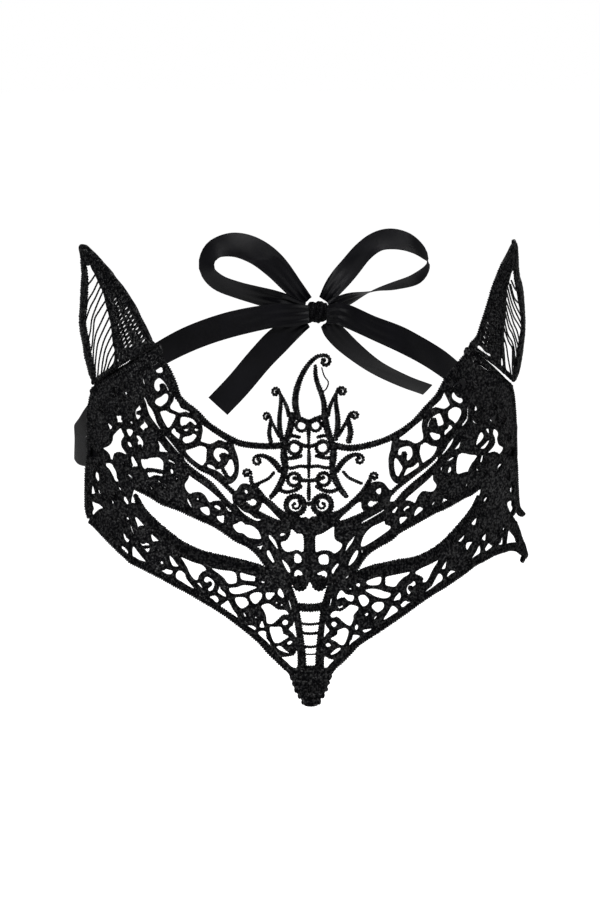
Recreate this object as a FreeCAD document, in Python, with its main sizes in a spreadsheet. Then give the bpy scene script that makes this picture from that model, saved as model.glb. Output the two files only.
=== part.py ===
"""Embroidered lace fox half mask with two lace ears and a satin ribbon tied at the back.

Frame: millimetres, origin at the centre of the head at eye height, -Y to the face,
+X to the wearer's left, +Z up. The lace is drawn flat, one half, as cords and scrolls
in (u, v): u is the distance along the face from the centre line, v the height. It is
then laid on the face form, which gives every cord its thickness on both sides.
"""
import FreeCAD
import Part
import math
import os

Vector = FreeCAD.Vector

doc = FreeCAD.newDocument("lace_fox_mask")

# ---------------------------------------------------------------- dimensions
sheet = doc.addObject("Spreadsheet::Sheet", "Dims")
DIMENSIONS = [
    ("front_radius", 98.0, "horizontal radius of the face at the front"),
    ("front_half_arc", 66.0, "half arc that has the front radius"),
    ("temple_radius", 50.0, "horizontal radius at the temples"),
    ("temple_end_arc", 107.4, "arc length where the temple curve ends"),
    ("nose_rise", 12.0, "how far the nose ridge stands forward"),
    ("nose_spread", 26.0, "width measure of the nose ridge"),
    ("nose_top", 12.0, "height where the nose ridge starts"),
    ("nose_end", -60.0, "height where the nose ridge is highest"),
    ("brow_height", 12.0, "height where the forehead starts to lean back"),
    ("brow_radius", 170.0, "radius of the forehead's lean"),
    ("border_cord", 2.2, "width of a border cord"),
    ("fine_cord", 1.4, "width of a scroll cord"),
    ("rim_cord", 3.0, "width of the lower eye rim"),
    ("bride_cord", 0.9, "width of a thin joining bar"),
    ("thread_cord", 0.6, "width of a single thread"),
    ("ear_border_cord", 4.2, "width of the ear's edge band"),
    ("border_thick", 1.6, "thickness of the border cords"),
    ("scroll_thick", 1.2, "thickness of the scroll cords"),
    ("thread_thick", 0.7, "thickness of the ear threads"),
    ("patch_thick", 1.8, "thickness of the nose tip"),
    ("stitch_gap", 0.05, "gap where one cord is sewn against another"),
    ("ear_gap", 0.75, "gap between the mask and an ear at its fold"),
    ("lace_facet", 3.2, "length of a facet along a curved cord"),
    ("lace_reach", 5.0, "longest straight edge laid on the form in one facet"),
    ("ribbon_width", 10.0, "width of the satin ribbon"),
    ("ribbon_thick", 0.4, "thickness of the satin ribbon"),
    ("ribbon_facet", 3.6, "length of a facet along the ribbon"),
    ("ribbon_gap", 0.06, "gap between the ribbon and the lace in front of it"),
    ("head_half_width", 77.0, "half width of the ribbon's way round the head"),
    ("head_widest", -24.0, "y of the head's widest point"),
    ("head_back", 116.0, "depth of the ribbon's way behind the widest point"),
    ("knot_x", 16.0, "bow knot, x"),
    ("knot_y", 94.5, "bow knot, y"),
    ("knot_z", 46.5, "bow knot, z"),
    ("knot_radius", 4.5, "radius of the knot"),
    ("knot_length", 10.0, "length of the knot along y"),
    ("knot_bevel", 1.5, "bevel of the knot's ends"),
    ("bow_gap", 0.6, "clearance round the knot for the loops and tails"),
]
for row, (alias, value, note) in enumerate(DIMENSIONS, start=1):
    sheet.set("A%d" % row, alias)
    sheet.set("B%d" % row, str(value))
    sheet.set("C%d" % row, note)
    sheet.setAlias("B%d" % row, alias)
doc.recompute()


def dim(name):
    """value of a named dimension"""
    return float(getattr(sheet, name))


STITCH = dim("stitch_gap")
BORDER = dim("border_cord")
FINE = dim("fine_cord")
BRIDE = dim("bride_cord")


# ---------------------------------------------------------------- face form
def face_section(u):
    """point of the horizontal section at arc length u, with its heading"""
    front = dim("front_radius")
    temple = dim("temple_radius")
    arc = abs(u)
    bend = min(arc, dim("front_half_arc")) / front
    x = front * math.sin(bend)
    y = -front * math.cos(bend)
    if arc > dim("front_half_arc"):
        turned = bend + (min(arc, dim("temple_end_arc")) - dim("front_half_arc")) / temple
        x += temple * (math.sin(turned) - math.sin(bend))
        y -= temple * (math.cos(turned) - math.cos(bend))
        beyond = max(arc - dim("temple_end_arc"), 0.0)
        x += beyond * math.cos(turned)
        y += beyond * math.sin(turned)
    return math.copysign(x, u), y


def ease(t):
    """smooth step from 0 to 1"""
    t = min(max(t, 0.0), 1.0)
    return t * t * (3.0 - 2.0 * t)


def face_point(u, v):
    """point of the face form at arc u and height v"""
    x, y = face_section(u)
    ridge = ease((dim("nose_top") - v) / (dim("nose_top") - dim("nose_end")))
    y -= dim("nose_rise") * ridge * math.exp(-(u / dim("nose_spread")) ** 2)
    if v > dim("brow_height"):
        y += (v - dim("brow_height")) ** 2 / (2.0 * dim("brow_radius"))
    return Vector(x, y, v)


def face_normal(u, v):
    """outward unit normal of the face form"""
    h = 0.05
    along = face_point(u + h, v) - face_point(u - h, v)
    up = face_point(u, v + h) - face_point(u, v - h)
    return along.cross(up).normalize()


def skin_point(u, v, d):
    """face form moved out by d"""
    return face_point(u, v) + face_normal(u, v) * d


# ---------------------------------------------------------------- flat drawing
def upward(face):
    """the same planar face with its normal along +Z"""
    if face.normalAt(0, 0).z < 0:
        return face.reversed()
    return face


def spline(points):
    """smooth curve through flat points"""
    curve = Part.BSplineCurve()
    curve.interpolate([Vector(p[0], p[1], 0.0) for p in points])
    return curve


def band_edges(points, width, last, grow, straight):
    """left and right edge points of a cord, its heading at the end, and its end point"""
    n = len(points) - 1
    if straight:
        middle = [Vector(p[0], p[1], 0.0) for p in points]
        heading = []
        for k in range(n + 1):
            step = Vector(0, 0, 0)
            if k > 0:
                step += (middle[k] - middle[k - 1]).normalize()
            if k < n:
                step += (middle[k + 1] - middle[k]).normalize()
            heading.append(step.normalize())
    else:
        curve = spline(points)
        n = max(int(math.ceil(curve.length() / dim("lace_facet"))), 3)
        start = curve.FirstParameter
        where = [curve.parameterAtDistance(curve.length() * k / n, start) for k in range(n + 1)]
        middle = [curve.value(t) for t in where]
        heading = [curve.tangent(t)[0] for t in where]
    middle[0] = middle[0] - heading[0] * grow
    middle[-1] = middle[-1] + heading[-1] * grow
    left = []
    right = []
    for k in range(n + 1):
        half = (width + (last - width) * k / n) / 2.0 + grow
        across = Vector(-heading[k].y, heading[k].x, 0.0) * half
        left.append(middle[k] + across)
        right.append(middle[k] - across)
    return left, right, heading[-1], middle[-1]


def cord(points, width, end=None, tip=False):
    """cord along a smooth line, from one width to another; a tip ends in a round"""
    last = width if end is None else end

    def make(grow):
        left, right, heading, stop = band_edges(points, width, last, grow, False)
        top = [stop + heading * (last / 2.0 + grow)] if tip else []
        corners = left + top + right[::-1]
        return [upward(Part.Face(Part.makePolygon(corners + [corners[0]])))]
    return make


def bar(points, width, end=None):
    """short cord of straight runs"""
    last = width if end is None else end

    def make(grow):
        left, right, heading, stop = band_edges(points, width, last, grow, True)
        corners = left + right[::-1]
        return [upward(Part.Face(Part.makePolygon(corners + [corners[0]])))]
    return make


RING_SIDES = 8


def round_face(u, v, radius):
    """disc of straight stitches, as many-sided as a scroll this small needs"""
    corners = []
    for k in range(RING_SIDES):
        angle = 2.0 * math.pi * (k + 0.5) / RING_SIDES
        corners.append(Vector(u + radius * math.cos(angle), v + radius * math.sin(angle), 0.0))
    return Part.Face(Part.makePolygon(corners + [corners[0]]))


def ring(u, v, radius, width):
    """ring of cord round (u, v), radius to the cord's middle"""
    def make(grow):
        disc = round_face(u, v, radius + width / 2.0 + grow)
        hole = radius - width / 2.0 - grow
        if hole > 0.3:
            disc = disc.cut(round_face(u, v, hole)).Faces[0]
        return [upward(disc)]
    return make


def hook(u, v, radius, width, start, sweep, shrink=0.5):
    """curled end: a cord winding in round (u, v) from angle start through sweep"""
    steps = max(int(round(abs(sweep) / 48.0)), 3)
    points = []
    for k in range(steps + 1):
        angle = math.radians(start + sweep * k / steps)
        r = radius * (1.0 - (1.0 - shrink) * k / steps)
        points.append((u + r * math.cos(angle), v + r * math.sin(angle)))
    return bar(points, width, width * 0.8)


def patch(points):
    """solid stitched patch inside a smooth outline of corners"""
    def make(grow):
        centre_u = sum(p[0] for p in points) / len(points)
        centre_v = sum(p[1] for p in points) / len(points)
        corners = []
        for p in points:
            away = Vector(p[0] - centre_u, p[1] - centre_v, 0.0)
            away.normalize()
            corners.append(Vector(p[0], p[1], 0.0) + away * grow)
        corners.append(corners[0])
        return [upward(Part.Face(Part.makePolygon(corners)))]
    return make


def mirrored(makers):
    """the same shapes on both sides of the centre line"""
    def make_other(maker):
        def make(grow):
            return [upward(f.mirror(Vector(0, 0, 0), Vector(1, 0, 0))) for f in maker(grow)]
        return make
    return makers + [make_other(m) for m in makers]


def tidy(faces):
    """join the flat faces that share an edge"""
    if len(faces) < 2:
        return [upward(f) for f in faces]
    return [upward(f) for f in Part.makeShell(faces).removeSplitter().Faces]


def merged(makers, grow):
    """one flat shape from many, each face clean"""
    faces = [f for m in makers for f in m(grow)]
    if len(faces) == 1:
        return faces
    joined = faces[0].multiFuse(faces[1:])
    return tidy(joined.Faces)


# ---------------------------------------------------------------- laying on the form
def corners_of(wire):
    """corners of a straight-edged wire, with more on its long edges"""
    corners = []
    ends = [v.Point for v in wire.OrderedVertexes]
    for p, q in zip(ends, ends[1:] + ends[:1]):
        if (q - p).Length < CLOSE:
            continue
        count = int(math.ceil((q - p).Length / dim("lace_reach")))
        corners += [p + (q - p) * (k / count) for k in range(count)]
    return corners


def lay(face, thickness):
    """solid of that thickness over a flat face, in flat facets with their corners on the form"""
    rims = []
    for wire in face.Wires:
        corners = corners_of(wire)
        rims.append(Part.makePolygon(corners + [corners[0]]))
    flat = upward(Part.makeFace(rims, "Part::FaceMakerBullseye").Faces[0])
    points, triangles = flat.tessellate(1.0)
    top = [skin_point(p.x, p.y, thickness / 2.0) for p in points]
    bottom = [skin_point(p.x, p.y, -thickness / 2.0) for p in points]
    facets = []
    sides = {}
    for a, b, c in triangles:
        facets.append([top[a], top[b], top[c]])
        facets.append([bottom[a], bottom[c], bottom[b]])
        for p, q in ((a, b), (b, c), (c, a)):
            if sides.pop((q, p), None) is None:
                sides[(p, q)] = True
    for p, q in sides:
        facets.append([top[q], top[p], bottom[p]])
        facets.append([top[q], bottom[p], bottom[q]])
    shell = Part.makeShell([Part.Face(Part.makePolygon(f + [f[0]])) for f in facets])
    shell.sewShape()
    solid = Part.Solid(shell if shell.ShapeType == "Shell" else shell.Shells[0])
    if solid.Volume < 0:
        solid.reverse()
    return solid


NODES = []


def add_node(label, shape):
    """put a finished sub-part into the document"""
    node = doc.addObject("Part::Feature", label)
    node.Label = label
    node.Shape = shape
    node.Placement = FreeCAD.Placement()
    NODES.append(node)
    return node


def compound(solids):
    return solids[0] if len(solids) == 1 else Part.makeCompound(solids)


TAKEN = []      # flat shapes laid so far, a stitch gap wider than they are
SMALLEST = 0.4  # flat pieces smaller than this area are dropped where cords are trimmed
CLOSE = 0.04    # corners nearer than this to the next one are left out


def lace(label, makers, thickness, sides, clear=None):
    """one lace sub-part: join its cords, trim them to the cords laid before, lay them on.

    sides: "centre" for one piece on the centre line, "both" for a left and a right one.
    """
    faces = merged(makers, 0.0)
    box = FreeCAD.BoundBox()
    for f in faces:
        box.add(f.BoundBox)
    near = [t for t in TAKEN if t.BoundBox.intersect(box)]
    if clear is not None:
        near = near + clear
    if near:
        trimmed = Part.makeCompound(faces).cut(near)
        faces = [f for f in tidy(trimmed.Faces) if f.Area > SMALLEST]
    if sides == "both":
        keep = [f for f in faces if f.CenterOfMass.x > 0]
        solids = [lay(f, thickness) for f in keep]
        others = [s.mirror(Vector(0, 0, 0), Vector(1, 0, 0)) for s in solids]
        add_node(label + "_left", compound(solids))
        add_node(label + "_right", compound(others))
    else:
        add_node(label, compound([lay(f, thickness) for f in faces]))
    TAKEN.extend(merged(makers, STITCH))
    return faces


# ---------------------------------------------------------------- the lace, centre
RIM = dim("rim_cord")
EDGE = dim("ear_border_cord")
THREAD = dim("thread_cord")
THICK = dim("border_thick")
THIN = dim("scroll_thick")

# nose tip: a solid stitched patch that narrows to a blunt end
NOSE_SIDE = [(7.2, -44.0), (7.8, -45.5), (6.3, -49.5), (4.8, -52.5), (3.5, -55.5), (2.6, -57.0)]
lace("nose_tip_patch", [patch(NOSE_SIDE + [(-u, v) for u, v in NOSE_SIDE[::-1]])],
     dim("patch_thick"), "centre")

# borders first: they run whole, and the scrolls are sewn against them
lace("cheek_border", [
    cord([(7.2, -44.3), (13, -40.2), (20, -35), (27, -30), (35, -25.6), (44, -21.4), (53, -17.4),
          (62, -13.6), (70, -11.6), (77, -11.5), (83, -13.2), (87.6, -16.6)], BORDER),
], THICK, "both")

lace("side_border", [
    cord([(80.2, 41.2), (82.6, 35.5), (83.6, 29), (83.6, 20), (83.6, 10), (84.2, 1), (87.4, -4.6)],
         BORDER, BORDER, True),
    cord([(76.5, 1.8), (81, -3.6), (85, -9.4), (88, -15.4), (89.6, -20.6)], BORDER, BORDER, True),
], THICK, "both")

lace("brow_border", [
    cord([(9.6, 28.6), (15, 28.7), (20, 29.4), (25, 31), (30, 33.8), (35, 37.2), (40, 40.8),
          (44, 44.8), (47.5, 49.3), (50.2, 53.2), (52.2, 56.2)], BORDER),
], THICK, "both")

# ear base: the straight band that the ear folds along
BASE_IN = Vector(52.6, 57.9, 0.0)
BASE_OUT = Vector(79.6, 42.5, 0.0)
ALONG = (BASE_OUT - BASE_IN).normalize()
ACROSS = Vector(-ALONG.y, ALONG.x, 0.0)


def beside_base(along, across):
    """flat point at a share of the ear base's length, and a distance above it"""
    p = BASE_IN + (BASE_OUT - BASE_IN) * along + ACROSS * across
    return p.x, p.y


lace("ear_base_band", [
    bar([beside_base(0.0, 0.0), beside_base(0.5, 0.0), beside_base(1.0, 0.0)], BORDER),
], THICK, "both")

lace("eye_rim_upper", [
    cord([(61.9, 11.3), (55, 9.2), (50, 7.5), (45, 6.2), (40, 4.4), (35, 2.3), (30, 0.7),
          (25, -2.5), (20, -5.6), (16, -9.4), (13, -13.6), (11, -17)], BORDER),
], THICK, "both")

lace("eye_rim_lower", [
    cord([(62.2, 8.9), (58.9, 2.8), (56.3, -0.8), (53, -3.6), (50, -5.5), (45, -8), (40, -9.9),
          (35, -11), (30, -11.6), (22, -12.6), (17, -13.5), (13, -15.9)], RIM, RIM * 0.7),
], THICK, "both")

# centre column: two side cords with paired scrolls and four cross bars between
column = [
    cord([(5.2, 38.4), (6.0, 34.2), (7.6, 30), (8.1, 26), (8.0, 22), (8.8, 18), (10, 14.6),
          (12, 12)], 2.4),
    ring(2.2, 35.3, 1.7, 1.2),
    ring(4.7, 27.9, 2.0, FINE),
    ring(4.9, 17.3, 2.0, FINE),
    ring(4.5, 8.8, 3.0, 2.2),
]
bars = [
    cord([(-5.2, 38.2), (-2.6, 37.6), (0, 36.6), (2.6, 37.6), (5.2, 38.2)], 1.8),
    cord([(-4.4, 29.6), (0, 28.3), (4.4, 29.6)], FINE),
    cord([(-4.6, 17.7), (0, 17.0), (4.6, 17.7)], FINE),
    bar([(-2.0, 9.7), (0, 9.3), (2.0, 9.7)], FINE),
]
lace("crest_scroll_column", mirrored(column) + bars, THICK, "centre")

# crest: a leaf whose tip curls to the wearer's left
lace("centre_crest", [
    cord([(-3.7, 39.2), (-4.3, 43), (-3.5, 47.5), (-1.9, 51.8), (0.6, 55.6), (3.2, 57.3)], 2.0, 1.6),
    cord([(5.3, 39.2), (5.0, 42.5), (3.9, 46.3), (2.8, 49.8), (2.4, 53.4), (3.2, 57.2)], 1.9, 1.6),
    hook(5.8, 56.0, 2.1, 1.1, 150, -320),
], THICK, "centre")

# horns: two curled points on each side of the crest
lace("crest_horns", [
    cord([(8.9, 31.2), (9.6, 35.5), (9.4, 40), (9.2, 43.5), (9.8, 46.0)], 1.9, 1.4),
    cord([(6.9, 39.0), (7.6, 41.6), (8.8, 44.6)], 1.5, 1.2),
    hook(10.6, 45.6, 1.7, 1.0, 150, -330),
    cord([(12.9, 30.2), (13.3, 33), (12.9, 36.2), (13.2, 38.4)], 1.9, 1.4),
    cord([(9.9, 32.2), (11.2, 34.2), (12.6, 37.4)], 1.5, 1.2),
    hook(14.3, 37.5, 1.6, 1.0, 140, -330),
], THIN, "both")

# collar: the V under the column, two leaf scrolls, and the stem down to the nose
collar = [
    cord([(0, 3.1), (7, 6.5), (11, 8.7), (15.2, 11.8), (18.2, 15), (20.2, 18.6)], 2.6, 1.4),
    hook(21.3, 18.2, 1.5, 1.0, 160, -330),
    cord([(9.4, 20.8), (11.4, 23.2), (14, 24.8), (16, 25)], 2.2, 1.3),
    hook(16.6, 23.3, 1.7, 1.0, 95, -330),
    ring(4.7, -9.1, 2.5, FINE),
    ring(9.4, -1.2, 1.7, 1.2),
    cord([(14.6, 0.0), (13.0, -5.2), (10.6, -10.8), (8.2, -15.8)], 1.8),
    cord([(9.8, -3.2), (9.8, -6.8), (7.6, -11.4), (5.2, -15.2)], 1.6),
]
stem = [cord([(0, 2.8), (0, -4), (0, -10), (0, -15.4)], 3.2, 2.0)]
lace("bridge_collar", mirrored(collar) + stem, THICK, "centre")

# nose ridge: two cords with rungs
ridge = [
    ring(3.3, -16.9, 1.6, 2.4),
    cord([(6.9, -17.4), (5.7, -21.2), (4.3, -26), (3.4, -31), (2.8, -37), (2.3, -43.9)], 2.2),
]
rungs = [
    bar([(-5, -24.3), (5, -24.3)], 2.6),
    bar([(-4, -29.6), (4, -29.6)], BRIDE),
    bar([(-3.5, -32.8), (3.5, -32.8)], BRIDE),
    bar([(-3, -37), (3, -37)], BRIDE),
]
lace("nose_ridge_cords", mirrored(ridge) + rungs, THICK, "centre")

# ---------------------------------------------------------------- the lace, sides
lace("brow_cord_upper", [
    cord([(5.6, 3.3), (10, 2.7), (14.5, 4.0), (18.5, 5.6), (22, 7.8), (25.5, 11), (29, 14.4),
          (34, 17.9), (40, 22.6), (45, 26.8), (49.5, 31.3), (53, 37), (54.6, 44)], 2.0),
], THICK, "both")

lace("brow_cord_lower", [
    cord([(11, -0.6), (15, 0.9), (19, 2.4), (23.5, 4.7), (28, 8.2), (31.4, 11.4), (36.4, 15.2),
          (42.6, 19.7), (47.6, 24), (51.6, 28.4), (55, 33.6), (57.4, 40)], 2.0),
], THICK, "both")

# upper band: three wheel scrolls between the brow border and the brow cord
lace("upper_scroll_band", [
    cord([(33.5, 28.4), (29.6, 28.5), (26.4, 25.8), (25.9, 20.0), (30.2, 15.4)], FINE),
    ring(32.4, 24.6, 3.2, FINE),
    bar([(31.4, 21.4), (31.0, 16.4)], FINE),
    bar([(28.6, 29.0), (28.2, 32.4)], BRIDE),
    cord([(35.2, 27.2), (38.4, 28.8), (41.4, 28.2), (44.4, 26.8)], FINE),
    ring(42.2, 34.2, 3.9, FINE),
    bar([(38.4, 34.8), (36.6, 37.6)], FINE),
    bar([(42.2, 30.4), (41.4, 28.4)], FINE),
    bar([(45.6, 32.2), (49.4, 32.0)], FINE),
    bar([(45.4, 36.6), (49.6, 42.4)], FINE),
    ring(51.6, 45.4, 3.6, FINE),
    bar([(48.2, 46.6), (46.4, 47.6)], FINE),
    bar([(52.4, 48.8), (53.4, 55.8)], FINE),
], THIN, "both")

# scrolls over the eye, below and above the brow cords
lace("eye_scroll_row", [
    ring(21.4, 12.9, 2.3, FINE),
    bar([(19.4, 14.4), (18.4, 15.6)], FINE),
    bar([(23.2, 11.2), (24.4, 10.2)], FINE),
    ring(38.4, 9.2, 2.8, FINE),
    ring(45.6, 12.6, 3.2, 2.0),
    ring(53.4, 14.6, 3.4, 2.2),
    bar([(46.4, 15.6), (45.8, 20.8)], 2.4),
    bar([(49.4, 24.0), (54, 21.8), (59, 21.4), (62.6, 19.6)], 1.8),
    bar([(54.4, 17.2), (54.8, 21.6)], FINE),
], THIN, "both")

# temple: a dense field of scrolls and cords from the eye corner to the side border
lace("temple_lattice", [
    bar([(82.4, 18.8), (74, 19.2), (68, 17.8), (62.6, 9.6)], 3.0),
    bar([(82.4, 7.0), (74, 5.4), (66, 8.2), (62.8, 8.6)], 3.2),
    ring(75.2, 28.6, 3.4, 2.6),
    ring(76.8, 13.0, 2.8, 2.0),
    ring(65.4, 24.0, 3.4, 2.4),
    ring(62.6, 42.4, 3.6, 2.6),
    bar([(56.0, 30.6), (55.6, 36), (57.4, 42), (60.8, 51.8)], 2.2),
    bar([(57.4, 22.6), (59.6, 28), (66, 32.4), (72.6, 34.0), (80.8, 37.6)], 2.4),
    bar([(70.8, 33.6), (72.4, 38.4), (71.4, 45.6)], 2.2),
    bar([(79.0, 27.4), (82.2, 26.4)], FINE),
    bar([(77.2, 1.4), (72.4, 1.6), (68.0, 6.6)], 3.0),
], THIN, "both")

# cheek: scrolls and brides between the lower rim and the cheek border
lace("cheek_lattice", [
    ring(9.6, -23.4, 2.1, FINE),
    ring(7.4, -33.0, 2.1, FINE),
    ring(17.6, -28.4, 2.6, 1.8),
    ring(33.6, -20.2, 2.8, FINE),
    bar([(9.2, -18.4), (9.6, -21.6)], FINE),
    bar([(8.6, -25.2), (7.6, -31.2)], FINE),
    bar([(9.0, -32.0), (15.4, -30.0)], 1.2),
    bar([(7.6, -34.8), (10.6, -40.6)], FINE),
    bar([(11.4, -18.2), (16.4, -19.4), (31.2, -19.8)], 1.2),
    bar([(23.4, -14.2), (23.6, -18.6)], BRIDE),
    bar([(14.6, -19.2), (16.6, -26.2)], 1.2),
    bar([(19.2, -26.6), (25, -24.2), (31.6, -21.6)], FINE),
    bar([(25.6, -24.6), (23.4, -31.2)], FINE),
    bar([(19.2, -30.4), (20.6, -33.4)], FINE),
    bar([(34.2, -17.6), (35.2, -12.6)], FINE),
    bar([(34.6, -22.6), (35.6, -24.4)], FINE),
    bar([(44.0, -9.8), (42.0, -15.4), (38.8, -22.4)], 1.6),
    bar([(42.0, -15.4), (46.4, -18.6)], FINE),
    ring(50.4, -11.8, 3.0, 2.2),
    bar([(50.6, -14.6), (51.0, -16.8)], FINE),
    bar([(59.4, 0.6), (58.2, -6), (54, -15.8)], 2.6),
    bar([(63.6, 8.0), (64.8, -2), (62.4, -12.4)], 2.8),
    bar([(70.6, 1.4), (68.4, -10.4)], 2.8),
    bar([(78.4, -0.2), (75.8, -10.6)], 2.6),
], THIN, "both")

# ---------------------------------------------------------------- the ears
EAR_FOOT = BORDER / 2.0 + dim("ear_gap") + 1.0
ear_base = [
    bar([beside_base(0.04, EAR_FOOT), beside_base(0.5, EAR_FOOT), beside_base(1.0, EAR_FOOT)], 2.0),
]
INNER = [(55.4, 60.2), (57.4, 63.6), (60.8, 69.0), (64.8, 74.8), (69.6, 79.9), (75.2, 84.2),
         (81, 87.2), (87.6, 88.2)]
OUTER = [(86.6, 87.4), (87.2, 80), (88.7, 72), (88.9, 64.5), (87.4, 57.5), (84.8, 51.4), (81.2, 46.0)]
lace("ear_border", ear_base + [
    cord(INNER, EDGE * 0.75, EDGE * 0.55),
    cord(OUTER, EDGE * 0.55, EDGE * 0.75),
], THICK, "both")

RIB = [(79.8, 84.8), (76.2, 79.5), (73.9, 73.5), (72.6, 67), (71.4, 60.5), (69.6, 53.0)]
lace("ear_midrib", [cord(RIB, 2.0, 2.6)], THICK, "both")


def share_of(points, t):
    """flat point at share t of a smooth line"""
    curve = spline(points)
    p = curve.value(curve.FirstParameter + (curve.LastParameter - curve.FirstParameter) * t)
    return p.x, p.y


# long slanting threads between the mid rib and the outer edge
threads = []
for k in range(7):
    t = 0.06 + 0.13 * k
    top = share_of(RIB, t)
    foot = share_of(OUTER, min(t + 0.26, 0.99))
    if t + 0.26 > 0.9:
        foot = beside_base(0.74 + 0.5 * (1.02 - t), EAR_FOOT)
    threads.append(bar([top, foot], THREAD))
lace("ear_threads", threads, dim("thread_thick"), "both")

# net between the inner edge and the mid rib: rungs across two lengthwise cords
net = [
    bar([(72.6, 80.6), (68.6, 73), (64.0, 57.2)], 0.8),
]
for k in range(6):
    t = 0.16 + 0.12 * k
    a = share_of(INNER, 0.86 - 0.92 * t)
    b = share_of(RIB, t)
    net.append(bar([a, b], THREAD))
lace("ear_net", net, dim("thread_thick"), "both")

# ---------------------------------------------------------------- the satin ribbon
WIDE = dim("ribbon_width")
SHEER = dim("ribbon_thick")
KNOT = Vector(dim("knot_x"), dim("knot_y"), dim("knot_z"))


def section_corners(centre, across, out, width, thickness):
    """corners of a ribbon's cross-section: a flat rectangle across its way"""
    a = across * (width / 2.0)
    b = out * (thickness / 2.0)
    return [centre - a - b, centre + a - b, centre + a + b, centre - a + b]


def ribbon(centres, outs, widths, thickness):
    """ribbon through the centres, each with its outward direction and width.

    It runs along a smooth line in short flat facets, so a twist stays a true solid.
    """
    way = Part.BSplineCurve()
    way.interpolate(centres)
    knots = [way.parameter(c) for c in centres]
    count = int(math.ceil(way.length() / dim("ribbon_facet")))
    rings = []
    for k in range(count + 1):
        t = way.parameterAtDistance(way.length() * k / count, way.FirstParameter)
        t = min(max(t, knots[0]), knots[-1])
        leg = max(i for i in range(len(knots) - 1) if knots[i] <= t)
        share = (t - knots[leg]) / (knots[leg + 1] - knots[leg])
        out = outs[leg] * (1.0 - share) + outs[leg + 1] * share
        width = widths[leg] * (1.0 - share) + widths[leg + 1] * share
        along = way.tangent(t)[0]
        flat = (out - along * out.dot(along)).normalize()
        across = along.cross(flat).normalize()
        rings.append(section_corners(way.value(t), across, flat, width, thickness))
    faces = []
    for near, far in zip(rings, rings[1:]):
        for i in range(4):
            j = (i + 1) % 4
            faces.append(Part.Face(Part.makePolygon([near[i], near[j], far[j], near[i]])))
            faces.append(Part.Face(Part.makePolygon([near[i], far[j], far[i], near[i]])))
    for end in (rings[0], rings[-1]):
        faces.append(Part.Face(Part.makePolygon(end + [end[0]])))
    shell = Part.makeShell(faces)
    shell.sewShape()
    solid = Part.Solid(shell if shell.ShapeType == "Shell" else shell.Shells[0])
    if solid.Volume < 0:
        solid.reverse()
    return solid


def round_head(angle, z):
    """point of the ribbon's way round the head, with its outward direction"""
    a = math.radians(angle)
    half = dim("head_half_width")
    deep = dim("head_back")
    point = Vector(half * math.cos(a), dim("head_widest") + deep * math.sin(a), z)
    out = Vector(math.cos(a) / half, math.sin(a) / deep, 0.0).normalize()
    return point, out


def seat_behind(u, v, layer):
    """point and outward direction of a ribbon layer sewn behind the lace"""
    depth = dim("border_thick") / 2.0 + (layer + 0.5) * SHEER + (layer + 1) * dim("ribbon_gap")
    return skin_point(u, v, -depth), face_normal(u, v)


# straps: sewn behind the side border, then round the head to the knot
SEAT_V = 21.5
SIDES = {
    "left": (1.0, [(-8, 20.4), (4, 20.6), (16, 22.6), (28, 27.2), (40, 33.4), (52, 38.8),
                   (62, 42.6)]),
    "right": (-1.0, [(-8, 18.4), (4, 17.4), (16, 17.8), (28, 22.0), (40, 27.6), (52, 33.4),
                     (64, 38.6), (76, 42.6), (88, 45.4)]),
}
for name, (sign, rises) in SIDES.items():
    stations = [seat_behind(78.6, SEAT_V + 0.6, 0), seat_behind(82.6, SEAT_V, 0),
                seat_behind(86.4, SEAT_V - 0.6, 0)]
    stations = [(Vector(sign * p.x, p.y, p.z), Vector(sign * n.x, n.y, n.z)) for p, n in stations]
    for angle, z in rises:
        p, n = round_head(angle, z)
        stations.append((Vector(sign * p.x, p.y, p.z), Vector(sign * n.x, n.y, n.z)))
    reach = dim("knot_radius") + dim("stitch_gap")
    layer_y = KNOT.y - 3.0
    stations.append((Vector(KNOT.x + sign * (reach + 5.0), layer_y - 1.2, KNOT.z - 0.4),
                     Vector(0, 1, 0)))
    stations.append((Vector(KNOT.x + sign * reach, layer_y, KNOT.z), Vector(0, 1, 0)))
    count = len(stations)
    widths = [WIDE] * (count - 3) + [WIDE * 0.9, WIDE * 0.72, WIDE * 0.6]
    add_node("ribbon_strap_" + name,
             ribbon([p for p, n in stations], [n for p, n in stations], widths, SHEER))
    hem = [seat_behind(78.8, SEAT_V + 0.6, 1), seat_behind(81.6, SEAT_V + 0.15, 1),
           seat_behind(84.4, SEAT_V - 0.3, 1)]
    add_node("ribbon_hem_" + name,
             ribbon([Vector(sign * p.x, p.y, p.z) for p, n in hem],
                    [Vector(sign * n.x, n.y, n.z) for p, n in hem], [WIDE] * 3, SHEER))


# knot: a short round bundle of ribbon across the straps
knot_core = doc.addObject("Part::Cylinder", "knot_core")
knot_core.setExpression("Radius", "Dims.knot_radius")
knot_core.setExpression("Height", "Dims.knot_length")
knot = doc.addObject("Part::Chamfer", "bow_knot")
knot.Label = "bow_knot"
doc.recompute()
knot.Base = knot_core
knot.Edges = [(1, dim("knot_bevel"), dim("knot_bevel")), (3, dim("knot_bevel"), dim("knot_bevel"))]
knot.Placement = FreeCAD.Placement(
    Vector(KNOT.x, KNOT.y + dim("knot_length") / 2.0, KNOT.z),
    FreeCAD.Rotation(Vector(1, 0, 0), 90))
NODES.append(knot)


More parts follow.
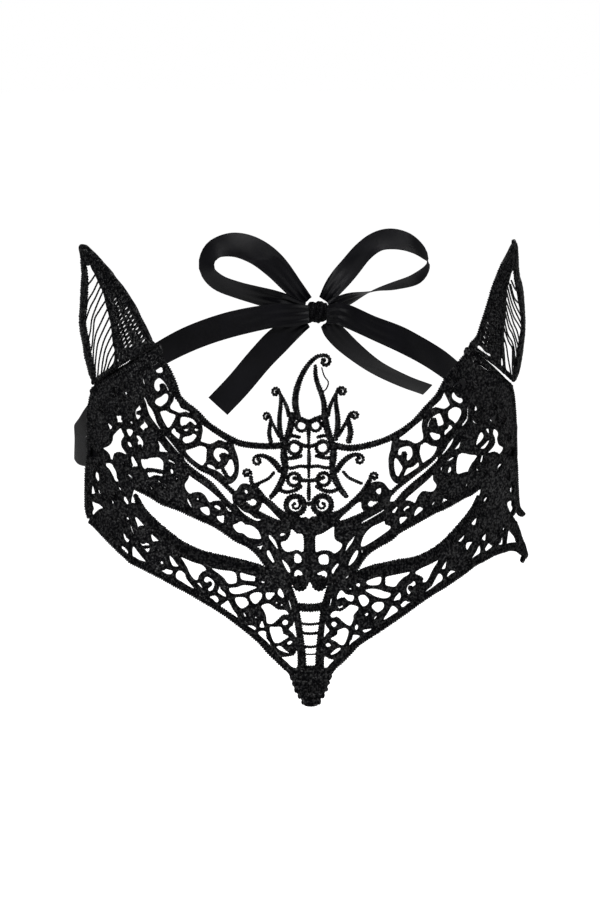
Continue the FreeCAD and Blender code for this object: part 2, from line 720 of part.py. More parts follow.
def bow_piece(label, way):
    """loop or tail of the bow.

    Each station is (dx, dz, dy, twist, width): the place from the knot, the turn of the
    ribbon about its own way from lying flat against the head, and the width there.
    """
    centres = [Vector(KNOT.x + s[0], KNOT.y + s[2], KNOT.z + s[1]) for s in way]
    line = Part.BSplineCurve()
    line.interpolate(centres)
    outs = []
    for c, s in zip(centres, way):
        along = line.tangent(line.parameter(c))[0]
        flat = Vector(0, 1, 0)
        side = along.cross(flat).normalize()
        flat = side.cross(along).normalize()
        turn = math.radians(s[3])
        outs.append(flat * math.cos(turn) + side * math.sin(turn))
    return add_node(label, ribbon(centres, outs, [s[4] for s in way], SHEER))


NEAR = dim("knot_radius") + dim("bow_gap")
GATHER = WIDE * 0.5
bow_piece("bow_loop_right", [
    (-0.72 * NEAR, 0.72 * NEAR, 3.4, 4, GATHER), (-8.5, 9.0, 3.8, 6, WIDE * 0.72),
    (-16, 17.6, 4.6, 4, WIDE * 0.95), (-23.2, 23.0, 5.4, 12, WIDE), (-31, 25.4, 6.2, 28, WIDE),
    (-38.2, 24.0, 6.4, 48, WIDE), (-41.6, 19.6, 5.8, 58, WIDE), (-41.2, 15.0, 4.6, 56, WIDE),
    (-37.2, 11.2, 3.6, 48, WIDE), (-30.5, 8.6, 2.8, 44, WIDE), (-22.5, 6.4, 2.0, 36, WIDE * 0.92),
    (-13.5, 4.2, 1.4, 18, WIDE * 0.7), (-0.97 * NEAR, 0.24 * NEAR, 1.2, 4, GATHER),
])
bow_piece("bow_loop_left", [
    (0.62 * NEAR, 0.79 * NEAR, 3.4, -6, GATHER), (7.4, 10.0, 3.9, -26, WIDE * 0.8),
    (12.8, 16.4, 4.8, -46, WIDE), (18, 22.4, 5.6, -48, WIDE), (23.4, 26.2, 6.0, -48, WIDE),
    (29.2, 27.2, 6.2, -46, WIDE), (35.4, 25.8, 6.2, -54, WIDE), (40.6, 22.2, 6.0, -68, WIDE),
    (43.0, 17.4, 5.6, -88, WIDE), (38.4, 12.0, 5.0, -106, WIDE), (30, 9.4, 4.0, -100, WIDE),
    (23.4, 8.0, 3.2, -86, WIDE), (17.6, 6.4, 2.4, -70, WIDE * 0.9), (11.4, 4.4, 1.7, -40, WIDE * 0.7),
    (0.96 * NEAR, 0.30 * NEAR, 1.3, -6, GATHER),
])
bow_piece("bow_tail_right", [
    (-0.76 * NEAR, -0.65 * NEAR, -0.6, 0, GATHER), (-8.2, -5.6, -0.5, 0, WIDE * 0.75),
    (-14.4, -10.2, 0.0, 2, WIDE), (-21.6, -17.8, 1.0, 2, WIDE), (-30, -28, 2.2, 0, WIDE),
    (-37.8, -36.4, 3.2, 0, WIDE),
])
bow_piece("bow_tail_left", [
    (0.66 * NEAR, -0.75 * NEAR, -0.6, 0, GATHER), (6.6, -7.6, -0.2, 20, WIDE * 0.8),
    (13.2, -14.4, 1.6, 40, WIDE), (22.6, -21.8, 4.0, 52, WIDE), (33.6, -27.6, 5.6, 53, WIDE),
    (43.2, -31.4, 6.6, 56, WIDE),
])

# ---------------------------------------------------------------- check and export
doc.recompute()
for node in doc.Objects:
    if "Invalid" in node.State or "Error" in node.State:
        raise RuntimeError("object did not rebuild: " + node.Name)
os.makedirs("parts", exist_ok=True)
for node in NODES:
    shape = node.Shape
    if not shape.isValid() or not shape.Solids:
        raise RuntimeError("not a valid solid: " + node.Label)
    if any(s.Volume <= 0 for s in shape.Solids):
        raise RuntimeError("solid turned inside out: " + node.Label)
    shape.exportStep("parts/" + node.Label + ".step")
print("sub-parts:", len(NODES))
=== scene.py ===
"""Black embroidered lace fox half mask, with lace ears and satin ribbon ties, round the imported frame."""

import math

import bpy
import numpy as np
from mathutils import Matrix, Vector, noise
from mathutils.geometry import delaunay_2d_cdt


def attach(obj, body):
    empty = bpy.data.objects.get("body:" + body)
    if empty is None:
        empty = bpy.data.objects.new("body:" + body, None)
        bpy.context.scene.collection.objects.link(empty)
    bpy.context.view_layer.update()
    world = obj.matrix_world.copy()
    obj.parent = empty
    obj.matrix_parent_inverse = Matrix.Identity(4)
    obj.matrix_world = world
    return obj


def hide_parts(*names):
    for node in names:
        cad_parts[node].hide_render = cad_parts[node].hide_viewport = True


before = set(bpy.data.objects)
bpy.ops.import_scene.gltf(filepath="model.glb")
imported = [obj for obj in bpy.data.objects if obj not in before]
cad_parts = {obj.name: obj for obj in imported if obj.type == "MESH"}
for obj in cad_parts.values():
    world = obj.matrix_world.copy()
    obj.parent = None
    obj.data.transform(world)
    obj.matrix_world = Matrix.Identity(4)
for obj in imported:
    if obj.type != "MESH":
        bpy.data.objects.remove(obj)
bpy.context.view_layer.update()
bpy.ops.object.select_all(action="DESELECT")

# ---------------------------------------------------------------- nose tip
# The blunt lower end of the nose: thread sewn solid, side by side, over the film that is
# washed away afterwards. Like all of the lace it is polyester thread, drawn flat as u
# along the face and v upwards in millimetres, and steamed to the form of the face.
MM = 0.001


def face_form(u, v):
    """points of the face form in millimetres; the nose and the lean of the brow are in it"""
    front, half_arc = 98.0, 66.0
    temple, end_arc = 50.0, 107.4
    arc = np.abs(u)
    bend = np.minimum(arc, half_arc) / front
    turned = bend + (np.clip(arc, half_arc, end_arc) - half_arc) / temple
    beyond = np.maximum(arc - end_arc, 0.0)
    x = front * np.sin(bend) + temple * (np.sin(turned) - np.sin(bend)) + beyond * np.cos(turned)
    y = -front * np.cos(bend) - temple * (np.cos(turned) - np.cos(bend)) + beyond * np.sin(turned)
    nose = np.clip((12.0 - v) / 72.0, 0.0, 1.0)
    y = y - 12.0 * nose * nose * (3.0 - 2.0 * nose) * np.exp(-((u / 26.0) ** 2))
    y = y + np.maximum(v - 12.0, 0.0) ** 2 / 340.0
    return np.stack([np.copysign(x, u), y, v], axis=-1)


def on_face(flat):
    """metres on the face form for rows of (u, v, lift) in millimetres"""
    flat = np.asarray(flat, float).reshape(-1, 3)
    u, v, lift = flat[:, 0], flat[:, 1], flat[:, 2]
    step = 0.05
    along = face_form(u + step, v) - face_form(u - step, v)
    up = face_form(u, v + step) - face_form(u, v - step)
    out = np.cross(along, up)
    out /= np.linalg.norm(out, axis=1)[:, None]
    return (face_form(u, v) + out * lift[:, None]) * MM


def ease(value, start, end):
    """0 before start, 1 after end, smooth between"""
    t = np.clip((value - start) / (end - start), 0.0, 1.0)
    return t * t * (3.0 - 2.0 * t)


def settle(flat, side):
    """one half of the drawing put on its own side; worn, the lace has slipped a little to the left"""
    flat = np.array(flat, float)
    slip = 1.8 * ease(flat[:, 0], 8.0, 24.0) * (1.0 - ease(flat[:, 0], 62.0, 80.0))
    flat[:, 0] = flat[:, 0] * side + slip
    return flat


def smooth_line(points, step, closed=False):
    """even steps along a smooth line through given points, with any further columns"""
    p = np.asarray(points, float)
    if len(p) == 2:
        p = np.array([p[0], (p[0] + p[1]) / 2.0, p[1]])
    n = len(p)
    ends = (np.vstack([p[-1:], p, p[:2]]) if closed else
            np.vstack([2 * p[:1] - p[1:2], p, 2 * p[-1:] - p[-2:-1]]))
    rows = []
    for k in range(n if closed else n - 1):
        a, b, c, d = ends[k:k + 4]
        count = max(int(math.ceil(math.dist(b[:2], c[:2]) / step)), 1)
        t = (np.arange(count) / count)[:, None]
        rows.append(0.5 * (2 * b + (c - a) * t + (2 * a - 5 * b + 4 * c - d) * t ** 2
                           + (3 * b - a - 3 * c + d) * t ** 3))
    line = np.vstack(rows)
    return line if closed else np.vstack([line, p[-1:]])


def lace_thread(name, ribbed):
    """black embroidery thread; ribbed stitches run across a cord, the others fill a ground"""
    m = bpy.data.materials.new(name)
    m.use_nodes = True
    nodes, links = m.node_tree.nodes, m.node_tree.links
    skin = nodes["Principled BSDF"]
    skin.inputs["Roughness"].default_value = 0.33
    place = nodes.new("ShaderNodeTexCoord")
    wear = nodes.new("ShaderNodeTexNoise")
    wear.inputs["Scale"].default_value = 420.0
    wear.inputs["Detail"].default_value = 3.0
    links.new(place.outputs["Object"], wear.inputs["Vector"])
    tone = nodes.new("ShaderNodeValToRGB")
    tone.color_ramp.elements[0].position = 0.35
    tone.color_ramp.elements[0].color = (0.0009, 0.0009, 0.0012, 1.0)
    tone.color_ramp.elements[1].position = 0.72
    tone.color_ramp.elements[1].color = (0.0024, 0.0025, 0.0032, 1.0)
    links.new(wear.outputs["Fac"], tone.inputs["Fac"])
    links.new(tone.outputs["Color"], skin.inputs["Base Color"])
    if ribbed:
        stitch = nodes.new("ShaderNodeTexWave")
        stitch.wave_type = "BANDS"
        stitch.bands_direction = "X"
        stitch.inputs["Scale"].default_value = 0.9
        stitch.inputs["Distortion"].default_value = 2.2
        stitch.inputs["Detail"].default_value = 2.0
        stitch.inputs["Detail Scale"].default_value = 1.6
        links.new(place.outputs["UV"], stitch.inputs["Vector"])
    else:
        lie = nodes.new("ShaderNodeMapping")
        lie.inputs["Scale"].default_value = (1000.0, 1000.0, 1300.0)
        links.new(place.outputs["Object"], lie.inputs["Vector"])
        stitch = nodes.new("ShaderNodeTexNoise")
        stitch.inputs["Scale"].default_value = 1.0
        stitch.inputs["Detail"].default_value = 3.0
        links.new(lie.outputs["Vector"], stitch.inputs["Vector"])
    bump = nodes.new("ShaderNodeBump")
    bump.inputs["Strength"].default_value = 0.9
    bump.inputs["Distance"].default_value = 0.0002 if ribbed else 0.0009
    links.new(stitch.outputs["Fac"], bump.inputs["Height"])
    links.new(bump.outputs["Normal"], skin.inputs["Normal"])
    glint = nodes.new("ShaderNodeTexNoise")
    glint.inputs["Scale"].default_value = 1300.0
    glint.inputs["Detail"].default_value = 1.0
    links.new(place.outputs["Object"], glint.inputs["Vector"])
    sheen = nodes.new("ShaderNodeMapRange")
    sheen.inputs["From Min"].default_value = 0.46
    sheen.inputs["From Max"].default_value = 0.68
    sheen.inputs["To Min"].default_value = 0.02
    sheen.inputs["To Max"].default_value = 0.42
    links.new(glint.outputs["Fac"], sheen.inputs["Value"])
    links.new(sheen.outputs["Result"], skin.inputs["Specular IOR Level"])
    return m


CORD_THREAD = lace_thread("lace_thread_satin_stitch", True)
GROUND_THREAD = lace_thread("lace_thread_ground_stitch", False)


class Lace:
    """one lace piece: its cords and grounds gathered flat, then laid on the face"""

    def __init__(self, name, side=0):
        self.name, self.side = name, side
        self.verts, self.faces, self.uvs, self.kinds = [], [], [], []

    def cord(self, points, width, thick=None, lift=0.0, closed=False, step=0.2, sides=8, wound=1.0):
        """satin stitch wound over a core along a smooth line; width is one number, or one for each point"""
        widths = [width] * len(points) if np.isscalar(width) else width
        line = smooth_line([(p[0], p[1], w) for p, w in zip(points, widths)], step, closed)
        mid, w = line[:, :2], line[:, 2]
        ahead = np.roll(mid, -1, 0) - np.roll(mid, 1, 0)
        if not closed:
            ahead[0], ahead[-1] = mid[1] - mid[0], mid[-1] - mid[-2]
        ahead /= np.linalg.norm(ahead, axis=1)[:, None] + 1e-9
        run = np.concatenate([[0.0], np.cumsum(np.linalg.norm(np.diff(mid, axis=0), axis=1))])
        if thick is None:
            thick = min(1.5, 0.45 + 0.45 * float(np.mean(w)))
        if not closed:
            first, last = mid[0], mid[-1]
            turn = (1.15, 0.6)
            mid = np.vstack([[first - ahead[0] * w[0] * 0.5 * math.sin(a) for a in turn], mid,
                             [last + ahead[-1] * w[-1] * 0.5 * math.sin(a) for a in turn[::-1]]])
            run = np.concatenate([[run[0] - 0.4, run[0] - 0.2], run, [run[-1] + 0.2, run[-1] + 0.4]])
            w = np.concatenate([[w[0] * math.cos(a) for a in turn], w,
                                [w[-1] * math.cos(a) for a in turn[::-1]]])
            ahead = np.vstack([ahead[:1], ahead[:1], ahead, ahead[-1:], ahead[-1:]])
        base, count = len(self.verts), len(mid)
        for k in range(count):
            ragged = noise.noise(Vector((mid[k][0] * 1.15, mid[k][1] * 1.15, 3.1)))
            half = w[k] * 0.5 * (1.0 + 0.12 * ragged)
            high = thick * 0.5 * min(1.0, 0.35 + w[k] / thick * 0.65) * (1.0 + 0.1 * ragged)
            for j in range(sides):
                a = 2 * math.pi * (j + 0.5) / sides
                turn = 1.0 + min(0.3, 0.09 + 0.23 / w[k]) * wound * math.sin(run[k] * 2 * math.pi / 0.8 + a)
                reach = half * math.cos(a) * turn
                self.verts.append((mid[k][0] - ahead[k][1] * reach, mid[k][1] + ahead[k][0] * reach,
                                   lift + high * math.sin(a) * turn))
        for k in range(count if closed else count - 1):
            n = (k + 1) % count
            end = run[n] if n > k else run[k] + step
            for j in range(sides):
                i = (j + 1) % sides
                self.faces.append((base + k * sides + j, base + k * sides + i,
                                   base + n * sides + i, base + n * sides + j))
                self.uvs.append(((run[k], j / sides), (run[k], (j + 1) / sides),
                                 (end, (j + 1) / sides), (end, j / sides)))
                self.kinds.append(0)
        if not closed:
            for row in (0, count - 1):
                self.faces.append(tuple(base + row * sides + j for j in range(sides)))
                self.uvs.append(tuple((run[row], 0.5) for _ in range(sides)))
                self.kinds.append(0)

    def wheel(self, u, v, radius, width, tall=None, **kw):
        """closed round of cord, or an oval where tall is given"""
        tall = radius if tall is None else tall
        n = max(8, int(max(radius, tall) * 3))
        self.cord([(u + radius * math.cos(2 * math.pi * k / n), v + tall * math.sin(2 * math.pi * k / n))
                   for k in range(n)], width, closed=True, **kw)

    def curl(self, u, v, radius, width, start, sweep, shrink=0.3, **kw):
        """scroll that winds in round (u, v) and stops in a small bead"""
        n = max(6, int(abs(sweep) / 30))
        points = []
        for k in range(n + 1):
            a = math.radians(start + sweep * k / n)
            r = radius * (1.0 - (1.0 - shrink) * k / n)
            points.append((u + r * math.cos(a), v + r * math.sin(a)))
        self.cord(points, [width * (1.0 + 0.35 * (k / n) ** 3) for k in range(n + 1)], **kw)

    def bead(self, u, v, radius, **kw):
        """small solid round of stitches"""
        self.cord([(u - radius * 0.45, v), (u, v), (u + radius * 0.45, v)],
                  [radius * 1.7, radius * 2.0, radius * 1.7], **kw)

    def ground(self, outline, holes=(), thick=0.9, hem=None):
        """sewn field inside an outline, with openings; hem is the width of the cord round each opening"""
        loops = [smooth_line(loop, 0.7, closed=True)[:, :2] for loop in [outline, *holes]]
        low, high = loops[0].min(0), loops[0].max(0)
        grain = 1.1
        fill = [(u, v) for u in np.arange(low[0] + 0.5, high[0], grain)
                for v in np.arange(low[1] + 0.5, high[1], grain)]
        points, edges = [], []
        for loop in loops:
            first = len(points)
            points += [Vector(p) for p in loop]
            edges += [(first + k, first + (k + 1) % len(loop)) for k in range(len(loop))]
        points += [Vector(p) for p in fill]
        flat, _, cells, *_ = delaunay_2d_cdt(points, edges, [], 0, 1e-4)

        def inside(p, loop):
            a, b = loop, np.roll(loop, -1, 0)
            cross = ((a[:, 1] > p[1]) != (b[:, 1] > p[1]))
            t = (p[1] - a[:, 1]) / np.where(cross, b[:, 1] - a[:, 1], 1.0)
            return bool(np.count_nonzero(cross & (p[0] < a[:, 0] + t * (b[:, 0] - a[:, 0]))) % 2)

        kept = []
        for cell in cells:
            centre = sum((flat[i] for i in cell), Vector((0.0, 0.0))) / 3.0
            if inside(centre, loops[0]) and not any(inside(centre, loop) for loop in loops[1:]):
                kept.append(cell)
        used = sorted({i for cell in kept for i in cell})
        where = {i: k for k, i in enumerate(used)}
        base = len(self.verts)
        for half in (1.0, -1.0):
            for i in used:
                bulge = 1.0 + 0.35 * noise.noise(Vector((flat[i].x * 0.9, flat[i].y * 0.9, half)))
                self.verts.append((flat[i].x, flat[i].y, half * thick * 0.5 * bulge))
        sides = {}
        for cell in kept:
            a, b, c = (where[i] for i in cell)
            self.faces.append((base + a, base + b, base + c))
            self.faces.append((base + len(used) + a, base + len(used) + c, base + len(used) + b))
            for p, q in ((a, b), (b, c), (c, a)):
                if sides.pop((q, p), None) is None:
                    sides[(p, q)] = True
            for _ in range(2):
                self.uvs.append(tuple((flat[i].x, flat[i].y) for i in cell))
                self.kinds.append(1)
        for p, q in sides:
            self.faces.append((base + q, base + p, base + len(used) + p, base + len(used) + q))
            self.uvs.append(tuple((flat[used[i]].x, flat[used[i]].y) for i in (q, p, p, q)))
            self.kinds.append(1)
        for loop in loops[1:] if hem else ():
            along = np.roll(loop, -1, 0) - np.roll(loop, 1, 0)
            along /= np.linalg.norm(along, axis=1)[:, None] + 1e-9
            turned = float(np.sum(loop[:, 0] * np.roll(loop[:, 1], -1)
                                  - loop[:, 1] * np.roll(loop[:, 0], -1)))
            out = np.stack([along[:, 1], -along[:, 0]], axis=1) * math.copysign(hem * 0.42, turned)
            self.cord([tuple(p) for p in loop + out], hem, closed=True, lift=thick * 0.2)

    def lay(self, body, *replaced):
        """one mesh on the face, which rides on its body and stands for its CAD nodes"""
        flat = np.array(self.verts, float)
        if self.side:
            flat = settle(flat, self.side)
        mesh = bpy.data.meshes.new(self.name)
        mesh.from_pydata([tuple(p) for p in on_face(flat)], [], self.faces)
        layer = mesh.uv_layers.new(name="stitch_uv")
        layer.data.foreach_set("uv", np.array([c for f in self.uvs for c in f], float).ravel())
        mesh.materials.append(CORD_THREAD)
        mesh.materials.append(GROUND_THREAD)
        mesh.polygons.foreach_set("material_index", self.kinds)
        piece = bpy.data.objects.new(self.name, mesh)
        bpy.context.scene.collection.objects.link(piece)
        bpy.ops.object.select_all(action="DESELECT")
        piece.select_set(True)
        bpy.context.view_layer.objects.active = piece
        bpy.ops.object.mode_set(mode="EDIT")
        bpy.ops.mesh.select_all(action="SELECT")
        bpy.ops.mesh.normals_make_consistent(inside=False)
        bpy.ops.object.mode_set(mode="OBJECT")
        bpy.ops.object.shade_smooth()
        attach(piece, body)
        if replaced:
            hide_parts(*replaced)


SIDES = ((1, "left"), (-1, "right"))
tip = Lace("nose_tip")
TIP_EDGE = [(7.2, -44.2), (7.0, -46.0), (6.0, -48.2), (5.0, -51.2), (3.2, -54.0), (1.8, -56.4)]
tip.ground(TIP_EDGE + [(-u - 0.2, v) for u, v in TIP_EDGE[::-1]], thick=1.3)
for v, half in ((-45.4, 6.6), (-47.4, 5.9), (-49.4, 5.2), (-51.4, 4.5), (-53.4, 3.4), (-55.4, 2.2)):
    tip.cord([(-half, v + 0.3), (-half * 0.4, v - 0.1), (half * 0.4, v - 0.1), (half, v + 0.3)], 2.3,
             thick=1.7)
tip.lay("mask", "nose_tip_patch")

# ---------------------------------------------------------------- border cords
# The cords that edge the mask at the cheek, the side and the brow, under each ear and round
# each eye. Each is a core of thread laid along the edge, covered with close satin stitch.
def own(side, points):
    """given points put on one side of the face; further numbers of a point stay as they are"""
    return [(side * p[0], *p[1:]) for p in points]


for side, name in SIDES:
    edge = Lace("cheek_edge_" + name)
    if side > 0:
        line = [(7, -44.4), (10, -42.2), (13, -39.7), (16, -37.1), (20.5, -34.8), (25, -32.7), (32, -29.1),
                (39, -25.4), (44, -23), (48, -21.4), (53.8, -18.9), (58, -17), (61.5, -15.3), (66.1, -14.2),
                (71, -13.1), (76, -12.9), (80.8, -13), (86, -14.2), (90, -15.9), (94, -17.6)]
        edge.bead(93.4, -19.4, 1.3)
    else:
        line = [(8, -44.2), (10.6, -41.7), (13.4, -39.2), (16.4, -36), (20, -33.2), (23.4, -30.8),
                (27.5, -28.1), (31.5, -25.9), (35.5, -23.9), (41.6, -21), (46, -19.3), (50, -17.5),
                (53.4, -16.3), (58.8, -14.4), (62.6, -13.3), (64.9, -11.8), (69.5, -9), (74.2, -6.1),
                (78.8, -3.5), (81.4, -2.6)]
    edge.cord(own(side, line), [2.2] + [2.3] * 17 + [2.2, 1.9])
    edge.lay("mask", "cheek_border_" + name)

    edge = Lace("side_edge_" + name, side)
    if side > 0:
        edge.cord([(80.4, 42.2), (82.2, 37.5), (83.2, 31), (83.4, 25), (83.6, 18.6), (84.4, 13.6),
                   (84.9, 8.4), (85.6, 3.2), (86.8, -0.4), (89.4, -2.3), (92, -3.2), (94, -3.7)],
                  [2.3, 2.4, 2.4, 2.4, 2.8, 3.3, 3.6, 3.8, 3.2, 2.6, 2.0, 1.0], thick=1.5)
        edge.cord([(79, -1.4), (82, -4.4), (84.6, -7.0), (87.2, -10), (90, -13.2), (93.5, -15.8), (97, -17.8),
                   (100, -19.2)], [2.6, 3.4, 4.4, 4.7, 4.6, 4.6, 4.4, 2.8], thick=1.5)
    else:
        edge.cord([(79.8, 42.0), (81.4, 38), (82.5, 33), (82.7, 27), (82.8, 20), (83.6, 15), (83.9, 10),
                   (84.0, 5), (83.9, 1.5), (83.3, -0.4)],
                  [2.2, 2.4, 2.4, 2.4, 2.6, 3.3, 3.5, 3.7, 3.5, 2.4], thick=1.5)
        edge.cord([(69.5, -3.2), (74, -1.6), (78.4, -1.2), (82.0, -2.4)], [3.0, 5.0, 4.4, 2.2], thick=1.3)
    edge.lay("mask", "side_border_" + name)

    edge = Lace("brow_edge_" + name, side)
    if side > 0:
        edge.cord([(8.2, 28.6), (13.4, 27.5), (18.8, 28.2), (24.4, 29.7), (27.8, 31), (31.2, 32.7),
                   (35.2, 35.3), (39.2, 38.9), (43.7, 42.6), (45.6, 45.2), (48.4, 48.6), (51.7, 51.2),
                   (55.2, 54.0), (58.0, 56.6)],
                  [2.4, 2.3, 2.2, 2.2, 2.3, 2.2, 2.3, 2.3, 2.3, 2.4, 2.6, 2.8, 2.8, 2.2])
    else:
        edge.cord([(8.2, 28.8), (14.6, 28.4), (23.6, 29), (28.3, 30.8), (32.3, 32.9), (35.8, 35.2),
                   (39.8, 38.8), (43.4, 41.2), (46, 43.6), (47.4, 47), (49, 50.6), (50.8, 53.4),
                   (53.2, 56.8)],
                  [2.4, 2.3, 2.2, 2.2, 2.3, 2.3, 2.4, 2.3, 2.6, 2.9, 2.8, 2.6, 2.2])
    edge.lay("mask", "brow_border_" + name)

    # the ear folds here: a thin band behind the border covers most of the gap
    edge = Lace("ear_base_" + name, side)
    start = [(56.0, 56.1), (57, 55.4)] if side > 0 else [(52.4, 58.0), (57, 55.4)]
    edge.cord(start + [(62, 52.6), (67, 49.8), (72, 46.9), (76, 44.6), (80, 42.3)],
              [2.1, 2.2, 2.3, 2.1, 2.2, 2.1, 2.4])
    fold = [(57.7, 56.8), (62.7, 54.0)] if side > 0 else [(53.5, 59.2), (57.7, 56.8), (62.7, 54.0)]
    edge.cord(fold + [(67.7, 51.1), (72.7, 48.3), (76.7, 46.0), (80.3, 43.9)], 2.2, thick=0.4,
              lift=-1.8 if side > 0 else -1.45, wound=0.3)
    edge.lay("mask", "ear_base_band_" + name)

    edge = Lace("eye_rim_upper_cord_" + name)
    if side > 0:
        edge.cord(own(side, [(63.4, 10.8), (59.6, 9.4), (55.8, 8.5), (51.8, 7.1), (48, 5.8), (44, 4.7),
                             (39, 2.7), (34, 0.6), (30.6, -0.9), (28, -2.9), (24, -4.8), (20.4, -6.7),
                             (18, -8.9), (15.8, -12), (13.6, -15.4)]),
                  [2, 2.5, 2.8, 2.8, 2.8, 2.8, 2.8, 2.8, 2.8, 2.7, 2.7, 2.6, 2.5, 2.4, 1.8])
    else:
        edge.cord(own(side, [(60.8, 12), (56.1, 10.7), (53, 9.6), (50, 8.2), (44, 6.7), (40, 5.2), (36, 3.7),
                             (32, 2.2), (28, 0), (24, -2.6), (20, -4.4), (17, -6.8), (14.8, -9.6),
                             (12.4, -13), (10.6, -16.6)]),
                  [2, 2.5, 2.8, 2.8, 2.8, 2.8, 2.8, 2.8, 2.8, 2.7, 2.7, 2.6, 2.5, 2.3, 1.8])
    edge.lay("mask", "eye_rim_upper_" + name)

    edge = Lace("eye_rim_lower_cord_" + name)
    if side > 0:
        edge.cord(own(side, [(62.6, 6.8), (60.8, 3.2), (58, 0.2), (55, -2.8), (52, -5.4), (48.4, -8.1),
                             (43.6, -10.6), (38, -12.3), (31, -12.9), (25.5, -13.4), (21, -13.7), (17, -14.4),
                             (14, -16.2)]),
                  [2, 3, 3.6, 4.2, 4.6, 4.8, 4.8, 4.6, 4.7, 4.4, 3.8, 2.8, 2], thick=1.5, wound=0.6, sides=10)
    else:
        edge.cord(own(side, [(60.6, 9), (58.4, 5), (55.6, 2), (52, -1), (49, -3.2), (44.8, -6), (40.2, -8.2),
                             (35.2, -9.7), (30, -10.5), (24, -11.3), (19, -11.9), (15.4, -12.6),
                             (12.2, -14.8)]),
                  [2, 3, 3.6, 4, 4.4, 4.6, 4.8, 4.8, 4.8, 4.4, 3.6, 2.6, 1.8], thick=1.5, wound=0.6, sides=10)
    edge.lay("mask", "eye_rim_lower_" + name)

# ---------------------------------------------------------------- forehead column and crest
# The column of paired scrolls over the nose, the leaf whose tip curls to the left and the
# curled horns beside it. Their cords are drawn out fine at the tips and free at the top.
column = Lace("forehead_column")
for s in (1, -1):
    column.cord(own(s, [(5.4, 38.6), (5.8, 35.4), (6.8, 32), (8.0, 28.6), (8.2, 25), (7.8, 21.4), (8.6, 17.8),
                        (10.4, 14.2), (12.4, 11.6)]), [2.4, 2.6, 2.4, 2.2, 2.6, 2.4, 2.4, 2.2, 1.8])
    column.wheel(s * 2.3, 35.2, 1.8, 1.2)
    column.wheel(s * 4.6, 27.9, 2.1, 1.4)
    column.cord(own(s, [(3.1, 31.4), (5.6, 31.8), (7.6, 30.4)]), 1.3)
    column.cord(own(s, [(2.6, 25.2), (4.8, 24.6), (7.4, 24.4)]), 1.4)
    column.wheel(s * 4.9, 17.4, 2.1, 1.4)
    column.cord(own(s, [(0.4, 21.6), (3.0, 21.8), (5.6, 21.2), (8.0, 21.4)]), 1.3)
    column.cord(own(s, [(2.7, 15.0), (4.6, 13.8), (7.4, 13.2), (9.8, 14.0)]), 1.5)
    column.wheel(s * 4.5, 8.8, 3.0, 2.1)
    column.curl(s * 4.5, 8.8, 1.7, 0.9, 90 + s * 40, s * 300)
column.cord([(-5.4, 38.2), (-2.8, 37.4), (0, 36.4), (2.8, 37.4), (5.4, 38.2)], 1.9)
column.cord([(0, 36.2), (0, 33.4), (0, 30.8), (0, 28.4)], [1.2, 1.6, 1.2, 1.0])
column.cord([(-4.6, 30.0), (-2.2, 28.8), (0, 28.4), (2.2, 28.8), (4.6, 30.0)], 1.5)
column.cord([(0, 27.6), (0.1, 24.6), (0, 21.4), (0, 18.2)], [1.0, 1.5, 1.2, 1.0])
column.cord([(-4.8, 17.9), (-2.2, 17.2), (0, 17.0), (2.2, 17.2), (4.8, 17.9)], 1.5)
column.cord([(0, 16.6), (0, 13.6), (0, 10.8)], [1.0, 1.5, 1.4])
column.cord([(-2.2, 9.8), (0, 9.2), (2.2, 9.8)], 1.6)
column.lay("mask", "crest_scroll_column")

crest = Lace("crest_leaf")
crest.cord([(-3.6, 38.6), (-4.3, 42), (-4.1, 45.5), (-3.2, 48.8), (-1.8, 52), (0.4, 55.2), (3.0, 57.4),
            (5.4, 57.9)], [2.2, 2.4, 2.3, 2.1, 1.9, 1.7, 1.5, 1.3])
crest.curl(5.7, 55.9, 2.0, 1.25, 105, -330)
crest.cord([(5.2, 38.6), (5.2, 42), (4.4, 45.4), (3.2, 48.6), (2.5, 51.6), (2.5, 54.4)],
           [2.0, 2.1, 1.9, 1.8, 1.6, 1.3])
crest.cord([(4.6, 53.8), (5.4, 51.2), (6.7, 49.2), (6.1, 47.2), (4.9, 46.1)], 0.5)
crest.lay("mask", "centre_crest")

for side, name in SIDES:
    horn = Lace("crest_horn_pair_" + name, side)
    horn.cord([(8.9, 30.8), (9.6, 34.4), (9.6, 38.2), (9.2, 41.6), (9.1, 44.6), (9.9, 46.8)],
              [1.9, 2.0, 1.8, 1.6, 1.4, 1.2])
    horn.cord([(6.6, 38.6), (7.0, 40.8), (8.0, 43.2), (8.8, 44.8)], [1.5, 1.5, 1.3, 1.1])
    horn.curl(11.0, 46.0, 1.5, 1.1, 150, -340)
    horn.cord([(12.9, 29.8), (13.5, 32.4), (13.2, 35.2), (12.9, 37.4), (13.6, 39.0)],
              [1.9, 1.9, 1.6, 1.3, 1.1])
    horn.cord([(9.9, 32.0), (11.0, 33.8), (12.2, 36.0), (12.8, 37.4)], [1.5, 1.4, 1.2, 1.0])
    horn.curl(14.6, 38.0, 1.4, 1.0, 140, -330)
    horn.lay("mask", "crest_horns_" + name)

